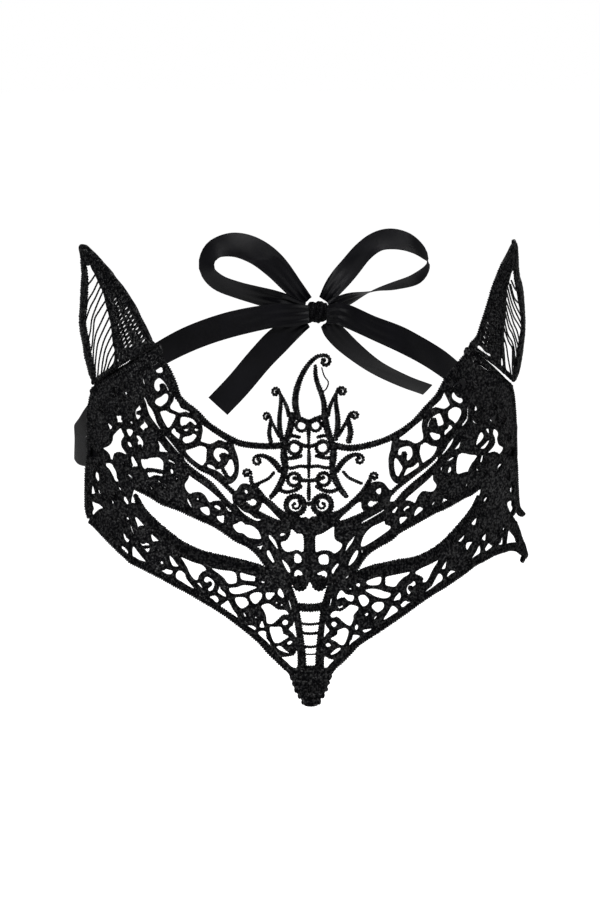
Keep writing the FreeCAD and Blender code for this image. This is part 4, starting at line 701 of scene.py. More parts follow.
# ---------------------------------------------------------------- temples
# Beyond the eye the embroidery closes up: cords, leaves and scrolls lie so near to one
# another that only small openings stay. A sewn ground carries them, corded round each opening.
TEMPLE_HOLES = {
    "left": [
        [(59.9, 44.2), (60.4, 43.6), (59.2, 42.2), (57.4, 40.9), (56.7, 41.5), (58.4, 42.4)],
        [(60.1, 46.5), (61.8, 45.1), (60.3, 45.1)],
        [(57.5, 37.9), (58.3, 37.8), (58.2, 34.2), (56.7, 32.4), (55.3, 31.8), (55.3, 32.8), (57.2, 34.5)],
        [(61.3, 38.6), (62.4, 36.7), (60.7, 36.5)],
        [(60.3, 33.6), (61.3, 32.6), (62.6, 31.7), (59.9, 32.8)],
        [(71.1, 36.8), (69.9, 35.7), (69.1, 36.3)],
        [(68.8, 33.6), (71.3, 33.8), (71, 31.8), (67.8, 32.4)],
        [(77, 32.2), (75.5, 31.5), (74.5, 30.1), (73.8, 29.5), (72.3, 30.7), (74.5, 31.5)],
        [(46.7, 23.3), (48.2, 24.9), (49.4, 26.6), (50.7, 27.8), (51.8, 28.9), (52, 28), (51.1, 26.2),
         (49.8, 24.9), (48.6, 23.9), (47.3, 23)],
        [(55.3, 27.8), (54.9, 26.1), (54.2, 24.7), (52, 24.5), (53.2, 25.7)],
        [(63.8, 29.2), (65.5, 27.6), (64.2, 26.1), (62.6, 25.1), (61.3, 24.7), (61.5, 26.1), (62.4, 28)],
        [(65.9, 29.9), (67.8, 29.7), (68, 28.2), (66.8, 28.4)],
        [(65.3, 24.9), (66.8, 25.9), (68.2, 25.9), (67.6, 24.7), (65.9, 23.4), (64.5, 23.3), (63.2, 23.7)],
        [(69.9, 29.5), (72.6, 28.2), (72.8, 26.8), (72.4, 25.3), (73.6, 23.4), (76.1, 22), (73.4, 20.3),
         (71.8, 21.1), (69.9, 21.7), (68, 21.5), (66.8, 21.8), (69.2, 23.4), (70.3, 24.9), (70.1, 26.5),
         (69.2, 28)],
        [(54.9, 23), (58.6, 22.2), (62.2, 21.3), (61.8, 20.3), (59.9, 18.8), (58.8, 17.2), (57.8, 15.7),
         (57.2, 16.3), (53, 16.3), (53, 21.5)],
        [(48.8, 20.7), (50.3, 21.7), (52.4, 22.2), (51.3, 21.1)],
        [(49.2, 17), (49.9, 18.8), (50.9, 18.6), (51.1, 17.4), (50.1, 16.8)],
        [(46.1, 17.4), (46.5, 18.9), (47.5, 19.4), (47.3, 18.5), (46.9, 17.4), (46.3, 17.1)],
        [(63.8, 21.1), (65.1, 21.1), (64.5, 18.8), (63.2, 18.8)],
        [(61.3, 17), (61.9, 17.1), (62.8, 16.3), (62.2, 15.9)],
        [(77.6, 19.3), (79.8, 20.8), (82, 21.4), (82.2, 18.6), (78.8, 19)],
        [(78.8, 26.1), (79.7, 25.1), (78.6, 24.5)],
        [(72.8, 17.2), (74.9, 17.2), (74.2, 16.3), (72.4, 15.3), (71.1, 14), (71.1, 14.9), (71.8, 16.5)],
        [(65.5, 15.3), (66.1, 14.9), (64.7, 14)],
        [(78, 11.8), (78.2, 13), (78.8, 13.4), (79.5, 12.2), (79, 11.2)],
        [(57.2, 12.4), (58, 12), (57.2, 11.1), (56.1, 10.3)],
        [(80.7, 9), (81.8, 8.6), (81.8, 6.1), (79.7, 6.3), (79.5, 7.8)],
        [(67.4, 7.1), (67, 5.9), (65.7, 5), (64.9, 5.7), (65.9, 6.7)],
        [(77.4, 2.9), (79.2, 3.5), (81.8, 3), (82, 1.4), (83, 0.2), (80.6, -1.2), (79, 0.2)],
    ],
    "right": [
        [(55.5, 45.3), (55.7, 44.8), (55.1, 44), (54.5, 43.2), (54, 42.2), (53.6, 43), (54, 44.2),
         (54.5, 44.5)],
        [(53.5, 50), (54.5, 51.3), (56, 52), (58.5, 50.5), (57.5, 48.5), (57.3, 47), (56, 46.1), (55.3, 46.8),
         (54.5, 48.5)],
        [(56.8, 42.7), (57.2, 42.2), (56.7, 41.3), (56.2, 40.1), (55.9, 38.8), (55.3, 37.2), (54.3, 35.7),
         (53, 34.3), (51.8, 33), (51.1, 32.2), (50.6, 32.6), (51.5, 33.8), (52.2, 35.3), (52.8, 37),
         (53.8, 38.8), (55.1, 40.1), (55.9, 41.7)],
        [(58.8, 40.1), (59.5, 39), (60.4, 38), (60.7, 36.8), (60.3, 35.5), (59.5, 34.8), (58.6, 35.5),
         (58.2, 36.3), (59, 36.5), (59.7, 36.5), (59.8, 37.2), (59.3, 37.8), (58.6, 37.9), (57.9, 38.4),
         (58.3, 39.2)],
        [(56.5, 35.2), (57.2, 34.7), (57.4, 33.8), (58.4, 33), (58.8, 32.4), (57.9, 31.8), (57.2, 31.2),
         (56.7, 32), (55.9, 32.4), (55.3, 33), (55.9, 33.8), (56.5, 34.5)],
        [(65.5, 45.9), (66, 44.9), (65.9, 44), (64.9, 43.4), (64.1, 42.4), (63.5, 43.2), (64.3, 44.3),
         (64.9, 45.5)],
        [(67.4, 44.5), (68.8, 44.2), (69, 43.2), (69, 42.4), (68.2, 42.9), (67.2, 44)],
        [(68, 38.6), (67.6, 37.6), (67, 37.2), (66.7, 37.7), (67.2, 38.3)],
        [(66, 35.5), (68.7, 35.2), (68.2, 34), (68, 32.8), (67.2, 33.2), (65.5, 33.5), (66.1, 34.5)],
        [(61.3, 33.2), (61.7, 34.1), (62.4, 34.2), (62.8, 33.7), (61.8, 33.1)],
        [(70, 31.5), (71.5, 32.4), (73.2, 32.9), (72.4, 31.7), (71.8, 30.7), (71.3, 29.9), (70.7, 30.5)],
        [(75.4, 38.2), (76.3, 37), (77, 36.7), (75.7, 36.5), (74.2, 36.3), (73.7, 36.7), (74.9, 37.2)],
        [(61.5, 31.3), (62.8, 31.5), (64.4, 31.1), (64, 29.9), (63.4, 29.2), (62.4, 28.9), (61.3, 30.5)],
        [(59.5, 29.7), (60.4, 29.3), (60.2, 28.8), (59.5, 28), (59.9, 27), (59.5, 26.1), (58.8, 26.8),
         (58.3, 26.3), (58.1, 25.3), (57.2, 26.7), (57.4, 28), (58.4, 29.2)],
        [(61.7, 25.9), (62.4, 27), (63.8, 27.2), (64, 26.4), (63, 25.4), (61.8, 25.6)],
        [(66.4, 31.5), (67.6, 30.9), (69.2, 29.5), (70.3, 28.4), (70.7, 26.8), (71.5, 25.5), (73, 24.5),
         (75.1, 23.7), (73.4, 22.9), (72, 21.8), (71.5, 20.7), (70.4, 20.1), (69.7, 21.1), (69.3, 22.4),
         (68.2, 23.1), (66.8, 23.3), (65.3, 22.9), (64, 22.9), (64.9, 24.2), (65.9, 25.3), (66.2, 26.5),
         (65.9, 27.6), (64.9, 29), (65.5, 30.1)],
        [(47.8, 25), (48.6, 25.6), (49.8, 27), (51, 28.2), (52, 28.7), (51.7, 27.6), (51.3, 26.5), (51.3, 25),
         (49.4, 24.9)],
        [(49.4, 30.5), (48.6, 29.3), (46.9, 27.5), (45.3, 25.9), (43.8, 24.5), (43.6, 24.8), (44.8, 26.3),
         (46.5, 28.2), (48.2, 29.9)],
        [(49.7, 21.8), (51.3, 23), (53, 22.8), (54.7, 22.6), (56.1, 22), (58.5, 21.7), (58.2, 19.7),
         (57.2, 18.5), (55.7, 18.5), (53, 18.8), (51.5, 18.5), (49.9, 18.6), (49.6, 19.9)],
        [(50, 17.8), (52.2, 18.1), (55.7, 18.1), (56.2, 17.2), (55.3, 15.8), (54.2, 16.3), (52.6, 16.9),
         (50.3, 16.7)],
        [(61.3, 22.4), (62.5, 22.2), (62.5, 20.9), (62, 19.3), (62.4, 18.5), (61.1, 19), (59.5, 19.3),
         (59.9, 20.5), (60.7, 21.5)],
        [(70.3, 19), (71.5, 19.2), (73.8, 18.7), (73.7, 17.8), (72.4, 17), (71.5, 16.1), (70.3, 14.5),
         (69.2, 13.2), (67.4, 13.4), (68, 14.5), (68.4, 16.5), (69.3, 17.8)],
        [(77.4, 15.3), (79, 15.3), (79.3, 13.4), (78.6, 12.4), (77.4, 11.9), (76.5, 13), (76.7, 14.5)],
        [(61.3, 14.8), (62, 15.7), (63.4, 16.4), (63.8, 15.8), (62.8, 15.2), (61.8, 14.7)],
        [(54.6, 13.2), (55, 12.6), (54.2, 11.7), (53.4, 11.2), (53.8, 12.2)],
        [(66.5, 11.1), (67.8, 11.8), (68.1, 11.3), (67, 10.1), (66.4, 10.3)],
        [(50.6, 14.6), (51.5, 15.3), (52, 14.9), (51.3, 14.5)],
        [(76.5, 20.9), (78.4, 22.4), (80.3, 23.4), (82.2, 23.7), (82.2, 20.1), (78.8, 20.4)],
        [(78.6, 30.9), (80.1, 30.3), (79.9, 29.5), (79, 30.1)],
        [(64.9, 8.7), (65.9, 7.5), (64.5, 5.9), (63.4, 6.1), (63.5, 7.1)],
        [(68.4, 8.6), (69, 8.2), (68.4, 7.2), (67.7, 7.3)],
        [(70.9, 7.1), (71.3, 6.7), (70.7, 5.2), (69.6, 5.9)],
        [(76.8, 9.6), (77.8, 9.8), (77.8, 8.2), (76.5, 7.7), (74.9, 6.7), (73.5, 6.2), (73.3, 6.8),
         (74.9, 7.3), (76.1, 8.6)],
        [(80.2, 11.9), (80.9, 11.3), (81.3, 10.2), (81.8, 7.4), (80.3, 7.4), (78.9, 7.8), (79.3, 9.4),
         (79.8, 10.5)],
        [(74.7, 3.5), (76.5, 4.4), (78.8, 4.7), (81.5, 4.8), (81.2, 3.2), (80.7, 2.1), (81.5, 1.1),
         (81.3, 0.1), (80.1, 0.1), (78.4, 1.5), (76.5, 2.7)],
        [(45.3, 21.4), (46.5, 22.2), (47.8, 22.6), (48, 22), (46.5, 21.5), (45.5, 21)],
        [(46.5, 19.5), (47.3, 19.1), (47.1, 18), (46.3, 17.8), (45.9, 18.7)],
    ],
}
TEMPLE_DOTS = {
    "left": [(62.4, 34.3), (64.9, 18.3), (66.8, 18.2), (49.7, 13.8), (63.9, 3), (65.5, 0.6), (72.3, 0.7),
             (48, 15.9), (66.4, 44.6), (70.6, 41.2), (74.4, 36.6), (64.8, 36.4)],
    "right": [(62.9, 46.3), (66.1, 41.4), (64.6, 19.2), (74.8, 14.8), (75, 18.2), (76.6, 17.9), (79.5, 17.7),
              (74.1, 11.7), (49.4, 13), (79.6, 26.5), (78.7, 25.5), (44.9, 16.3), (61.9, 38.6), (70.8, 41.5)],
}
TEMPLE_EDGE = {
    "left": [(45.4, 16), (45.6, 20.4), (46, 23.6), (48.6, 27), (51.6, 30), (54.6, 33), (56.4, 36), (56, 40),
             (57.6, 46), (60, 52.6), (65, 50.2), (72.4, 46), (79.6, 41.6), (82.6, 34), (83.2, 25), (84, 15),
             (84.6, 8), (85.4, 1.6), (84, -1.4), (80.4, -2.2), (75.4, 0.2), (70, 0), (66, 2.4), (63.4, 6),
             (64, 9.6), (60.4, 11), (56, 9.4), (52, 8.4), (48.4, 8), (46, 11.6)],
    "right": [(42, 16), (42, 20.6), (42.4, 23.6), (45, 27), (48.4, 30.6), (51.4, 34.6), (53, 38.4),
              (53.6, 43), (54.6, 47), (56.6, 54.6), (64, 50.8), (72, 46.2), (79.4, 41.4), (82.2, 34),
              (82.4, 25), (83.2, 15), (83.6, 6), (83.4, -0.6), (79.6, -1.2), (74, 0), (70, 1), (66, 2.4),
              (63.4, 5), (62.4, 8.6), (60.6, 12), (56, 11), (52, 9.2), (48.4, 8.4), (44, 10.4)],
}


def pricks(points, reach=0.4):
    """the smallest openings, one at each point"""
    return [[(u - reach, v), (u, v + reach), (u + reach, v), (u, v - reach)] for u, v in points]


for side, name in SIDES:
    temple = Lace("temple_" + name)
    openings = TEMPLE_HOLES[name] + pricks(TEMPLE_DOTS[name])
    temple.ground(own(side, TEMPLE_EDGE[name]), [own(side, h) for h in openings], thick=1.0, hem=1.1)
    temple.lay("mask", "temple_lattice_" + name)

# ---------------------------------------------------------------- cheeks
# From the nose to the corner of the eye, scrolls, leaves and joining bars fill the space
# between the lower eye rim and the cheek edge; a cord is sewn round every opening.
CHEEK_HOLES = {
    "left": [
        [(62.6, 0.7), (62.3, -0.4), (61.7, -2.3), (59.5, -1.8), (60.3, -0.6)],
        [(56.9, -4.8), (56.7, -6), (55.5, -7.3), (53.8, -7), (54.9, -6)],
        [(57.6, -7.8), (60.5, -8), (59.5, -9.1), (58.1, -10.8), (57, -9.3)],
        [(67.2, -4.8), (66.8, -6.4), (66.3, -8.5), (64.2, -7.3), (65.7, -6)],
        [(63.4, -9.1), (64.2, -11), (64, -12.3), (61.5, -13.3), (59, -14.2), (61.1, -12)],
        [(67.8, -9.1), (69, -10.2), (70.3, -10.8), (68, -11.8), (66.3, -12), (65.7, -11)],
        [(75.7, -8.1), (75.8, -11), (72.6, -10.6), (74, -9.8), (74.5, -8.3)],
        [(75.9, -4.7), (77, -5.8), (76.3, -6.5), (75, -5.8)],
        [(78.6, -6.7), (79.9, -6.8), (82.6, -8.7), (84.8, -10.2), (86.6, -12.2), (84.2, -11.9), (80.6, -11.4),
         (77.6, -11.2)],
        [(49.9, -12.2), (49.3, -14.1), (48.8, -15.8), (47, -15.4)],
        [(50.7, -16.6), (53.2, -17.3), (51.5, -17.9), (49.5, -19), (49.3, -17.9)],
        [(16.4, -14.9), (18.5, -14.3), (18.5, -14.7), (16.8, -15.1)],
        [(19, -17.3), (21.3, -16.3), (24.5, -16.1), (24, -18.5), (20.3, -18.5)],
        [(25.9, -16.3), (28, -15.9), (32, -15.5), (34.8, -15.3), (34.8, -16.2), (32.8, -17.1), (31, -18.5),
         (29.5, -19.9), (26, -19), (25.8, -17.8)],
        [(18.7, -20), (21, -19.6), (24, -20.3), (25.5, -21), (28, -21.9), (27.5, -23.1), (25.5, -23.4),
         (22.5, -22.5), (20.5, -21.3)],
        [(36.9, -15.5), (39, -14.5), (43, -13.3), (46, -12.3), (45.8, -13.3), (44, -15.5), (42.5, -18),
         (41.3, -19.5), (39.5, -19.3), (39.8, -18), (38.5, -17), (37, -16.3)],
        [(46, -17), (47.6, -18), (47.8, -19.5), (46, -20.5), (44, -21.6), (42, -22.6), (40.6, -23.2),
         (41, -22.3), (43, -21), (44, -19.5), (45, -18)],
        [(36.8, -18.8), (37.3, -20), (36, -20.5), (35, -20), (34.3, -20.8), (34.8, -21.8), (35.4, -22.5),
         (34.5, -23.1), (33.8, -22.3), (33.5, -21), (34, -19.8), (35.3, -19.3), (36, -18.6)],
        [(31, -21.8), (31.8, -23), (31.5, -24.3), (30, -24.5), (28.7, -24.6), (29.3, -23.3), (30.3, -22.4)],
        [(31.3, -26), (33, -24.9), (34.3, -25.4), (36, -25.6), (34.3, -26.1), (33, -27), (31.8, -26.9)],
        [(28.5, -26), (30.3, -27.3), (30.5, -28.3), (28.5, -29.3), (26.5, -30.3), (25.2, -30.6),
         (25.3, -29.8), (26.5, -28.3), (27.5, -26.8)],
        [(20.8, -25.5), (22.3, -24.3), (24.5, -24.4), (25.6, -25.3), (25.3, -26.8), (23.3, -27.8),
         (22, -27.1)],
        [(16.3, -21.8), (18.5, -21.5), (20.3, -23.5), (19.5, -24.9), (18, -25.3), (16.8, -24)],
        [(15.4, -18), (16.3, -17.4), (17.1, -17.8), (16.8, -18.8)],
        [(13, -18.8), (14.2, -19.1), (13.5, -19.4)],
        [(8.9, -22.3), (9.3, -20.5), (10.5, -19.3), (11.5, -20), (12.3, -20.8), (14.8, -21.4), (14.8, -22.8),
         (14, -23.3), (12.5, -22.8), (11.5, -21.8), (10, -21.9)],
        [(9, -24.3), (9.8, -25.3), (11, -24.8), (11.4, -23.8), (10.8, -24.3), (9.9, -24.6)],
        [(6.6, -27.3), (7.8, -26), (10, -26), (11.8, -25.3), (13.5, -24.3), (16, -25), (16.5, -26),
         (14.8, -27.8), (14.8, -29), (13.8, -31), (12.5, -30.9), (10.5, -29.3), (9, -27.9), (7.5, -28.1)],
        [(6.9, -30), (7.8, -29.3), (9, -30.1), (8.3, -31.1), (7.3, -30.8)],
        [(14.9, -31.5), (15.8, -30.8), (16.4, -31.8), (15.8, -32.8), (15, -32.4)],
        [(18.4, -28), (19.3, -27.4), (20, -27.9), (19.3, -28.6)],
        [(21.4, -29.8), (22.3, -28.9), (23, -29.1), (22, -30.1)],
        [(17.5, -33), (19, -32.8), (21.2, -33), (19.5, -33.8), (18.3, -33.9)],
        [(9, -32.3), (11.5, -31.6), (13, -32.8), (12.6, -34.8), (11.5, -37), (10, -37.1), (8.3, -35.8),
         (6.6, -34.8), (8, -34), (8.9, -33.3)],
        [(14.3, -34.1), (16.9, -34.8), (15.8, -35.8), (14, -36.8), (12.9, -37.8), (13, -36.5), (14, -35.3)],
        [(4.9, -36.5), (6, -36.1), (6.9, -37), (5.5, -37.4)],
        [(10.3, -38.1), (9.5, -39.1), (7.8, -39.9), (6.4, -40), (7.3, -39), (8.8, -38)],
        [(4.5, -40.5), (6.3, -41.3), (7.8, -41.8), (6.5, -43), (5.3, -44.2), (4.4, -44.2)],
        [(7.3, -21.4), (7.1, -23.3), (6, -25.8), (6.5, -24), (6.8, -22.3)],
        [(4.9, -28.8), (5.3, -30.5), (6.4, -32.1), (5.3, -33.3), (4.4, -34.3), (4.6, -31)],
    ],
    "right": [
        [(60.2, 2), (61.2, 1.6), (60.7, 0.3), (59.9, -1.6), (58.8, -0.8), (57, -0.7), (57.9, 0.2),
         (59.2, 1.3)],
        [(63.6, 1.6), (64.5, 1.5), (64.7, 1), (63.8, 0.5), (63.2, 0.9)],
        [(62.6, -0.7), (63.1, -1.3), (62.6, -2.9), (61.7, -4.4), (61.1, -4.3), (61.8, -2.5)],
        [(66.5, -0.4), (65.9, -1.2), (64.9, -2), (64.7, -1.6), (65.5, -0.9)],
        [(65.5, -4), (66.1, -4.5), (65.8, -5.8), (64.9, -7), (63.8, -7), (63.1, -6.1), (64.2, -5.5),
         (64.7, -4.7)],
        [(54.3, -3.2), (54.8, -3.7), (54.6, -5), (54, -5.8), (52.2, -5.4), (51.1, -5.4), (52, -4.8),
         (53.4, -3.7)],
        [(55.3, -6.6), (56.7, -6.4), (57.6, -7), (59, -6.3), (59.4, -6.6), (58.4, -7.6), (57.6, -7.8),
         (56.5, -7.5), (55.1, -7.2)],
        [(55, -8), (56.3, -8.2), (57.5, -8.4), (57, -9.1), (56.1, -9.7), (55.3, -9)],
        [(50.3, -12), (51.3, -12.6), (51.1, -13.1), (49.9, -12.9)],
        [(61.5, -8.1), (62.3, -8.7), (62.4, -11.4), (61.1, -12), (59.5, -12.7), (58, -12.9), (56.5, -13.1),
         (56.8, -12.5), (57.8, -11.6), (59.2, -10.2), (60.7, -8.7)],
        [(65.7, -8.6), (66.9, -8.8), (66.8, -9.8), (65.3, -10.8), (64.3, -11.2), (63.6, -10.4), (64.5, -9.3)],
        [(46.4, -15), (48, -14.7), (49, -14.5), (49.9, -15.2), (51.2, -15.4), (50.3, -15.8), (48.8, -16.4),
         (47, -16.2)],
        [(71, -4.6), (71.4, -5.1), (71.1, -5.9), (70.8, -5.2)],
        [(73.8, -5.2), (74.5, -4.4), (75.4, -4.1), (75.5, -4.5), (74.5, -5.4)],
        [(14.8, -13.3), (16, -12.7), (17.4, -12.7), (16.8, -13.3), (15.3, -13.6)],
        [(17.8, -15), (20, -14.5), (22.8, -13.9), (23, -15), (22.3, -16.3), (18.3, -16.5), (18, -15.8)],
        [(24.3, -14.3), (25.5, -13.6), (29, -13.4), (32.6, -13), (32, -13.8), (30, -15), (28.5, -16.3),
         (27, -17.9), (24.3, -17.4), (24, -15.8)],
        [(14.7, -16.6), (16, -16.3), (15.9, -16.8), (15, -17)],
        [(17.4, -18.5), (19.5, -18), (22, -18), (24, -18.8), (26.8, -19.4), (26, -21), (23.5, -21.1),
         (21, -20.3), (19, -19.4)],
        [(34.5, -13.3), (36, -12.1), (39, -11.4), (43.6, -10), (43, -11.3), (41.5, -13.5), (40.5, -15.5),
         (39, -17.3), (37.5, -17.4), (37, -16), (35.8, -14.5), (34.6, -14)],
        [(43.8, -14.6), (45.4, -15.8), (45.4, -17.5), (43.5, -18.5), (41, -19.8), (38.6, -20.6),
         (38.8, -20.1), (40, -18.8), (41.5, -17), (42, -15.5)],
        [(47.8, -9.8), (47.8, -11), (47.3, -12.5), (46.5, -13.5), (44.3, -13.3), (45.3, -12), (46.5, -10.5)],
        [(34.5, -16), (35.5, -17.3), (35, -18), (34, -18), (33.3, -17.5), (32.6, -18.3), (33, -19.3),
         (34, -20), (33.8, -20.9), (32.5, -20.5), (31.8, -19.3), (31.6, -17.8), (32.8, -16.5)],
        [(35.8, -19.8), (36.8, -18.3), (37.9, -18.6), (37, -19.4), (36.3, -20)],
        [(30, -18.6), (30.3, -19.8), (30.8, -21), (29.5, -21.8), (27.8, -22.4), (28, -21), (29.3, -20)],
        [(30.3, -23), (31.5, -22.1), (33.6, -22.9), (32.5, -23.5), (31.3, -24.5), (30.3, -24.1)],
        [(27, -23.4), (28.3, -24.3), (30, -25.8), (28.5, -27), (26, -28), (24.5, -28.8), (23.8, -29.3),
         (24, -28), (25.3, -26.3), (26.3, -24.5)],
        [(20, -23.8), (21.3, -22.1), (24, -22.1), (24.9, -22.8), (24.3, -24.5), (22.8, -25.8), (21.3, -25.3)],
        [(15.8, -20.3), (17.8, -20.1), (19.9, -21.4), (19.3, -23.3), (17.8, -24), (16.5, -22.8),
         (15.8, -21.8)],
        [(11.5, -20), (14.4, -20.1), (14.4, -21.8), (13.3, -22.3), (12, -21)],
        [(9.8, -18.4), (10.5, -19.3), (10.5, -20.5), (8.8, -21.6), (8.6, -20.3)],
        [(7.1, -26.8), (8, -25.5), (10.5, -25.3), (12, -24.3), (13.8, -23.5), (16.1, -24.5), (15.3, -26),
         (14.6, -27.8), (14.3, -29.9), (12.5, -30.1), (10.5, -28.5), (9, -27)],
        [(7.3, -29), (8.3, -28.5), (9.3, -29.4), (8.8, -30.3), (7.5, -30)],
        [(15.8, -29.1), (16.3, -30), (16.8, -31.3), (15.8, -31.6), (15, -31.3)],
        [(21, -28), (21.8, -26.9), (22.1, -27.3), (21.5, -28.5)],
        [(17.7, -31.8), (19, -31.1), (20.8, -31.3), (19.5, -32), (18.3, -32.6)],
        [(9.5, -31), (11.5, -31), (13.4, -31.3), (13, -34), (12, -36.1), (10.5, -36.3), (8.5, -35),
         (7.1, -33.9), (8.8, -33)],
        [(14.5, -32.8), (16, -32.6), (17.3, -33.4), (16, -34.8), (14.5, -36), (13.4, -37.1), (13.2, -36.3),
         (14.3, -34.8)],
        [(5.9, -35.6), (6.8, -35.3), (7.8, -36.1), (7, -36.6)],
        [(11.4, -37.3), (10.5, -38.3), (8.8, -39), (7, -39.3), (8.3, -38.3), (9.8, -37.1)],
        [(4.5, -38.3), (5.5, -39.8), (8, -40.5), (9.6, -40.8), (8, -42.2), (6.5, -43.6), (5.3, -44),
         (4.4, -43.4)],
        [(7.1, -21.9), (6.8, -23.5), (6.1, -25.8), (6.3, -24), (6.6, -22.8)],
        [(5.3, -29), (5.9, -30.3), (7.1, -31.5), (5.8, -32.8), (4.6, -34.2), (4.8, -32), (5.1, -30)],
    ],
}
CHEEK_DOTS = {
    "left": [(64, -3.5), (52.6, -14.4), (58.1, -14.7), (70.2, -3.2), (72.4, -6.6), (37.8, -21.6),
             (39.3, -21.2)],
    "right": [(55.8, -13.5), (70.2, 0.6), (68, -2.6), (69, -6.6), (52.6, -9.2), (9.3, -23.8), (11, -23.2),
              (17.9, -28.4)],
}
CHEEK_EDGE = {
    "left": [(7.4, -17), (13, -15.4), (17, -14), (25.5, -13.2), (31, -12.8), (38, -12.2), (43.6, -10.6),
             (48.4, -8.2), (53.8, -5.2), (58.6, -0.4), (62.6, 5.6), (67, 3.6), (72.4, 1.4), (78, -1.4),
             (81.6, -5.6), (85.6, -9.8), (89, -14), (93, -17), (90, -16.4), (86, -14.4), (80.8, -13.2),
             (75.8, -13), (70, -13.2), (65.6, -14.2), (61.4, -15.4), (56.8, -17.4), (52, -19.6), (48, -21.4),
             (44, -23), (39, -25.4), (32, -29.1), (25, -32.7), (20.5, -34.8), (16, -37.1), (13, -39.7),
             (10, -42.2), (7, -44.6), (3.4, -45), (3.0, -40), (3.2, -36), (3.7, -31.4), (4.4, -27.4),
             (5.2, -23.6), (6.3, -20)],
    "right": [(6.4, -17), (10, -14.6), (15.4, -12.4), (19, -11.8), (24, -11.2), (30, -10.6), (35.2, -9.7),
              (40.2, -8.2), (44.8, -6), (50.2, -3.2), (55.8, 1), (61, 6.6), (66, 4.4), (72.4, 1.6),
              (78.4, 0.2), (81.4, -2.4), (78.6, -3.8), (74, -6.4), (70, -9.2), (65.4, -12.2), (62.6, -13.6),
              (58.4, -14.6), (53, -16.6), (47.4, -18.8), (41.6, -21), (35.5, -23.9), (27.5, -28.1),
              (23.4, -30.8), (20, -33.2), (16.4, -36), (13.4, -39.2), (10.6, -41.7), (8, -44.6), (3.4, -45),
              (3.0, -40), (3.2, -36), (3.7, -31.4), (4.4, -27.4), (5.2, -23.6), (6.0, -20)],
}
for side, name in SIDES:
    cheek = Lace("cheek_" + name)
    openings = CHEEK_HOLES[name] + pricks(CHEEK_DOTS[name])
    cheek.ground(own(side, CHEEK_EDGE[name]), [own(side, h) for h in openings], thick=1.0, hem=1.0)
    cheek.lay("mask", "cheek_lattice_" + name)

# ---------------------------------------------------------------- ears
# Each ear is a lace leaf: an inner field of close stitches with short slanting slits and a
# rib at its side, fine threads beyond it, and a broad outer band. The left one flares more.
EAR_FIELD = {
    "left": [(59.4, 57.4), (62.3, 60), (64.5, 64), (65.5, 66.3), (68, 70.5), (70, 74.5), (73, 79), (76, 82.5),
             (78.5, 84.5), (81, 86.3), (83, 87.8), (85.6, 89), (88.6, 88.4), (89.4, 85), (88, 82), (84.8, 81),
             (83.6, 80.3), (82, 79), (80.3, 76.5), (79, 74.5), (78.4, 72), (78, 69.5), (77.6, 67),
             (77.1, 64.8), (76.4, 62.5), (76.1, 59.5), (76, 56.5), (76.4, 53.5), (76.6, 50), (77.2, 46.8),
             (72.4, 49.8), (66.6, 53.2), (61, 56.4)],
    "right": [(53.4, 60.6), (55.5, 65), (57.5, 68), (59.5, 71.5), (61.5, 74), (64.5, 77.5), (68, 80.5),
              (70, 82.5), (73, 84.5), (76, 86.5), (80, 88.5), (83.8, 89.8), (87.1, 89), (87, 87), (85.2, 84),
              (82.5, 83), (80.6, 83.6), (79.2, 82), (78, 81), (76.2, 78.7), (75, 77), (73.8, 75.6),
              (72.8, 73.2), (72.2, 70.8), (71.3, 68.7), (70.6, 66.6), (70.1, 64.6), (69.8, 62.3), (69.3, 59),
              (68.6, 56.4), (69, 53.2), (71, 50.6), (69.4, 50.8), (64.8, 53.4), (59.8, 56.2), (55, 58.9)],
}
SLITS = {
    "left": [((65.4, 58.6), (68, 64.6), 5, 2.0), ((66.8, 57.2), (68.8, 61.6), 4, 1.6),
             ((69.0, 57.0), (71.0, 69.0), 11, 1.4), ((70.6, 58.2), (71.4, 63.0), 5, 1.5),
             ((72.6, 56.0), (72.6, 66.0), 9, 1.7), ((70.4, 68.6), (74.4, 74.4), 4, 0.8),
             ((73.0, 68.4), (74.6, 71.0), 2, 0.8)],
    "right": [((56.9, 60.8), (63.6, 70.8), 9, 2.0), ((58.9, 61.8), (63.8, 68.4), 6, 1.6),
              ((62.0, 58.8), (68.4, 73.4), 13, 2.0), ((64.1, 58.4), (66.2, 64.4), 6, 1.8),
              ((66.0, 61.0), (67.6, 70.0), 7, 1.7), ((65.6, 73.4), (68.8, 76.6), 3, 0.9),
              ((70.6, 76.6), (71.8, 78.2), 2, 0.8)],
}
EAR_OPENINGS = {
    "left": [[(62.2, 57.2), (63.4, 57.8), (64.9, 57.0), (66.9, 55.2), (69.2, 54.2), (68.2, 53.2),
              (66.6, 53.9), (64.2, 55.3)],
             [(74.3, 52.8), (75.2, 52.8), (76, 51.5), (76, 49.9), (75, 49.5), (74, 50.3)]],
    "right": [[(66.9, 53.6), (67.7, 54.8), (67.9, 53.4), (67.3, 53)]],
}
OUTER_BAND = {
    "left": [(86.6, 88.6, 3.2), (88.0, 84.5, 4.4), (87.7, 80, 5.4), (88.8, 76, 5.4), (91, 73, 6.6),
             (92.8, 69, 6.6), (94.2, 64, 5.6), (94, 60, 5.2), (91.4, 56, 5.4), (89, 52.5, 5.6),
             (86.8, 49, 5.2), (84.8, 46.6, 4.4), (83.2, 44.8, 3.0)],
    "right": [(85.4, 88.4, 2.8), (85.2, 84, 3.2), (84.2, 80, 4.2), (84.6, 75, 5.0), (85.2, 70, 5.0),
              (86.1, 65, 4.8), (85.5, 61.5, 5.0), (83.8, 57.5, 4.8), (82.9, 54, 4.6), (81.4, 51, 4.6),
              (80.2, 48.2, 4.2), (79.6, 46.4, 3.0)],
}
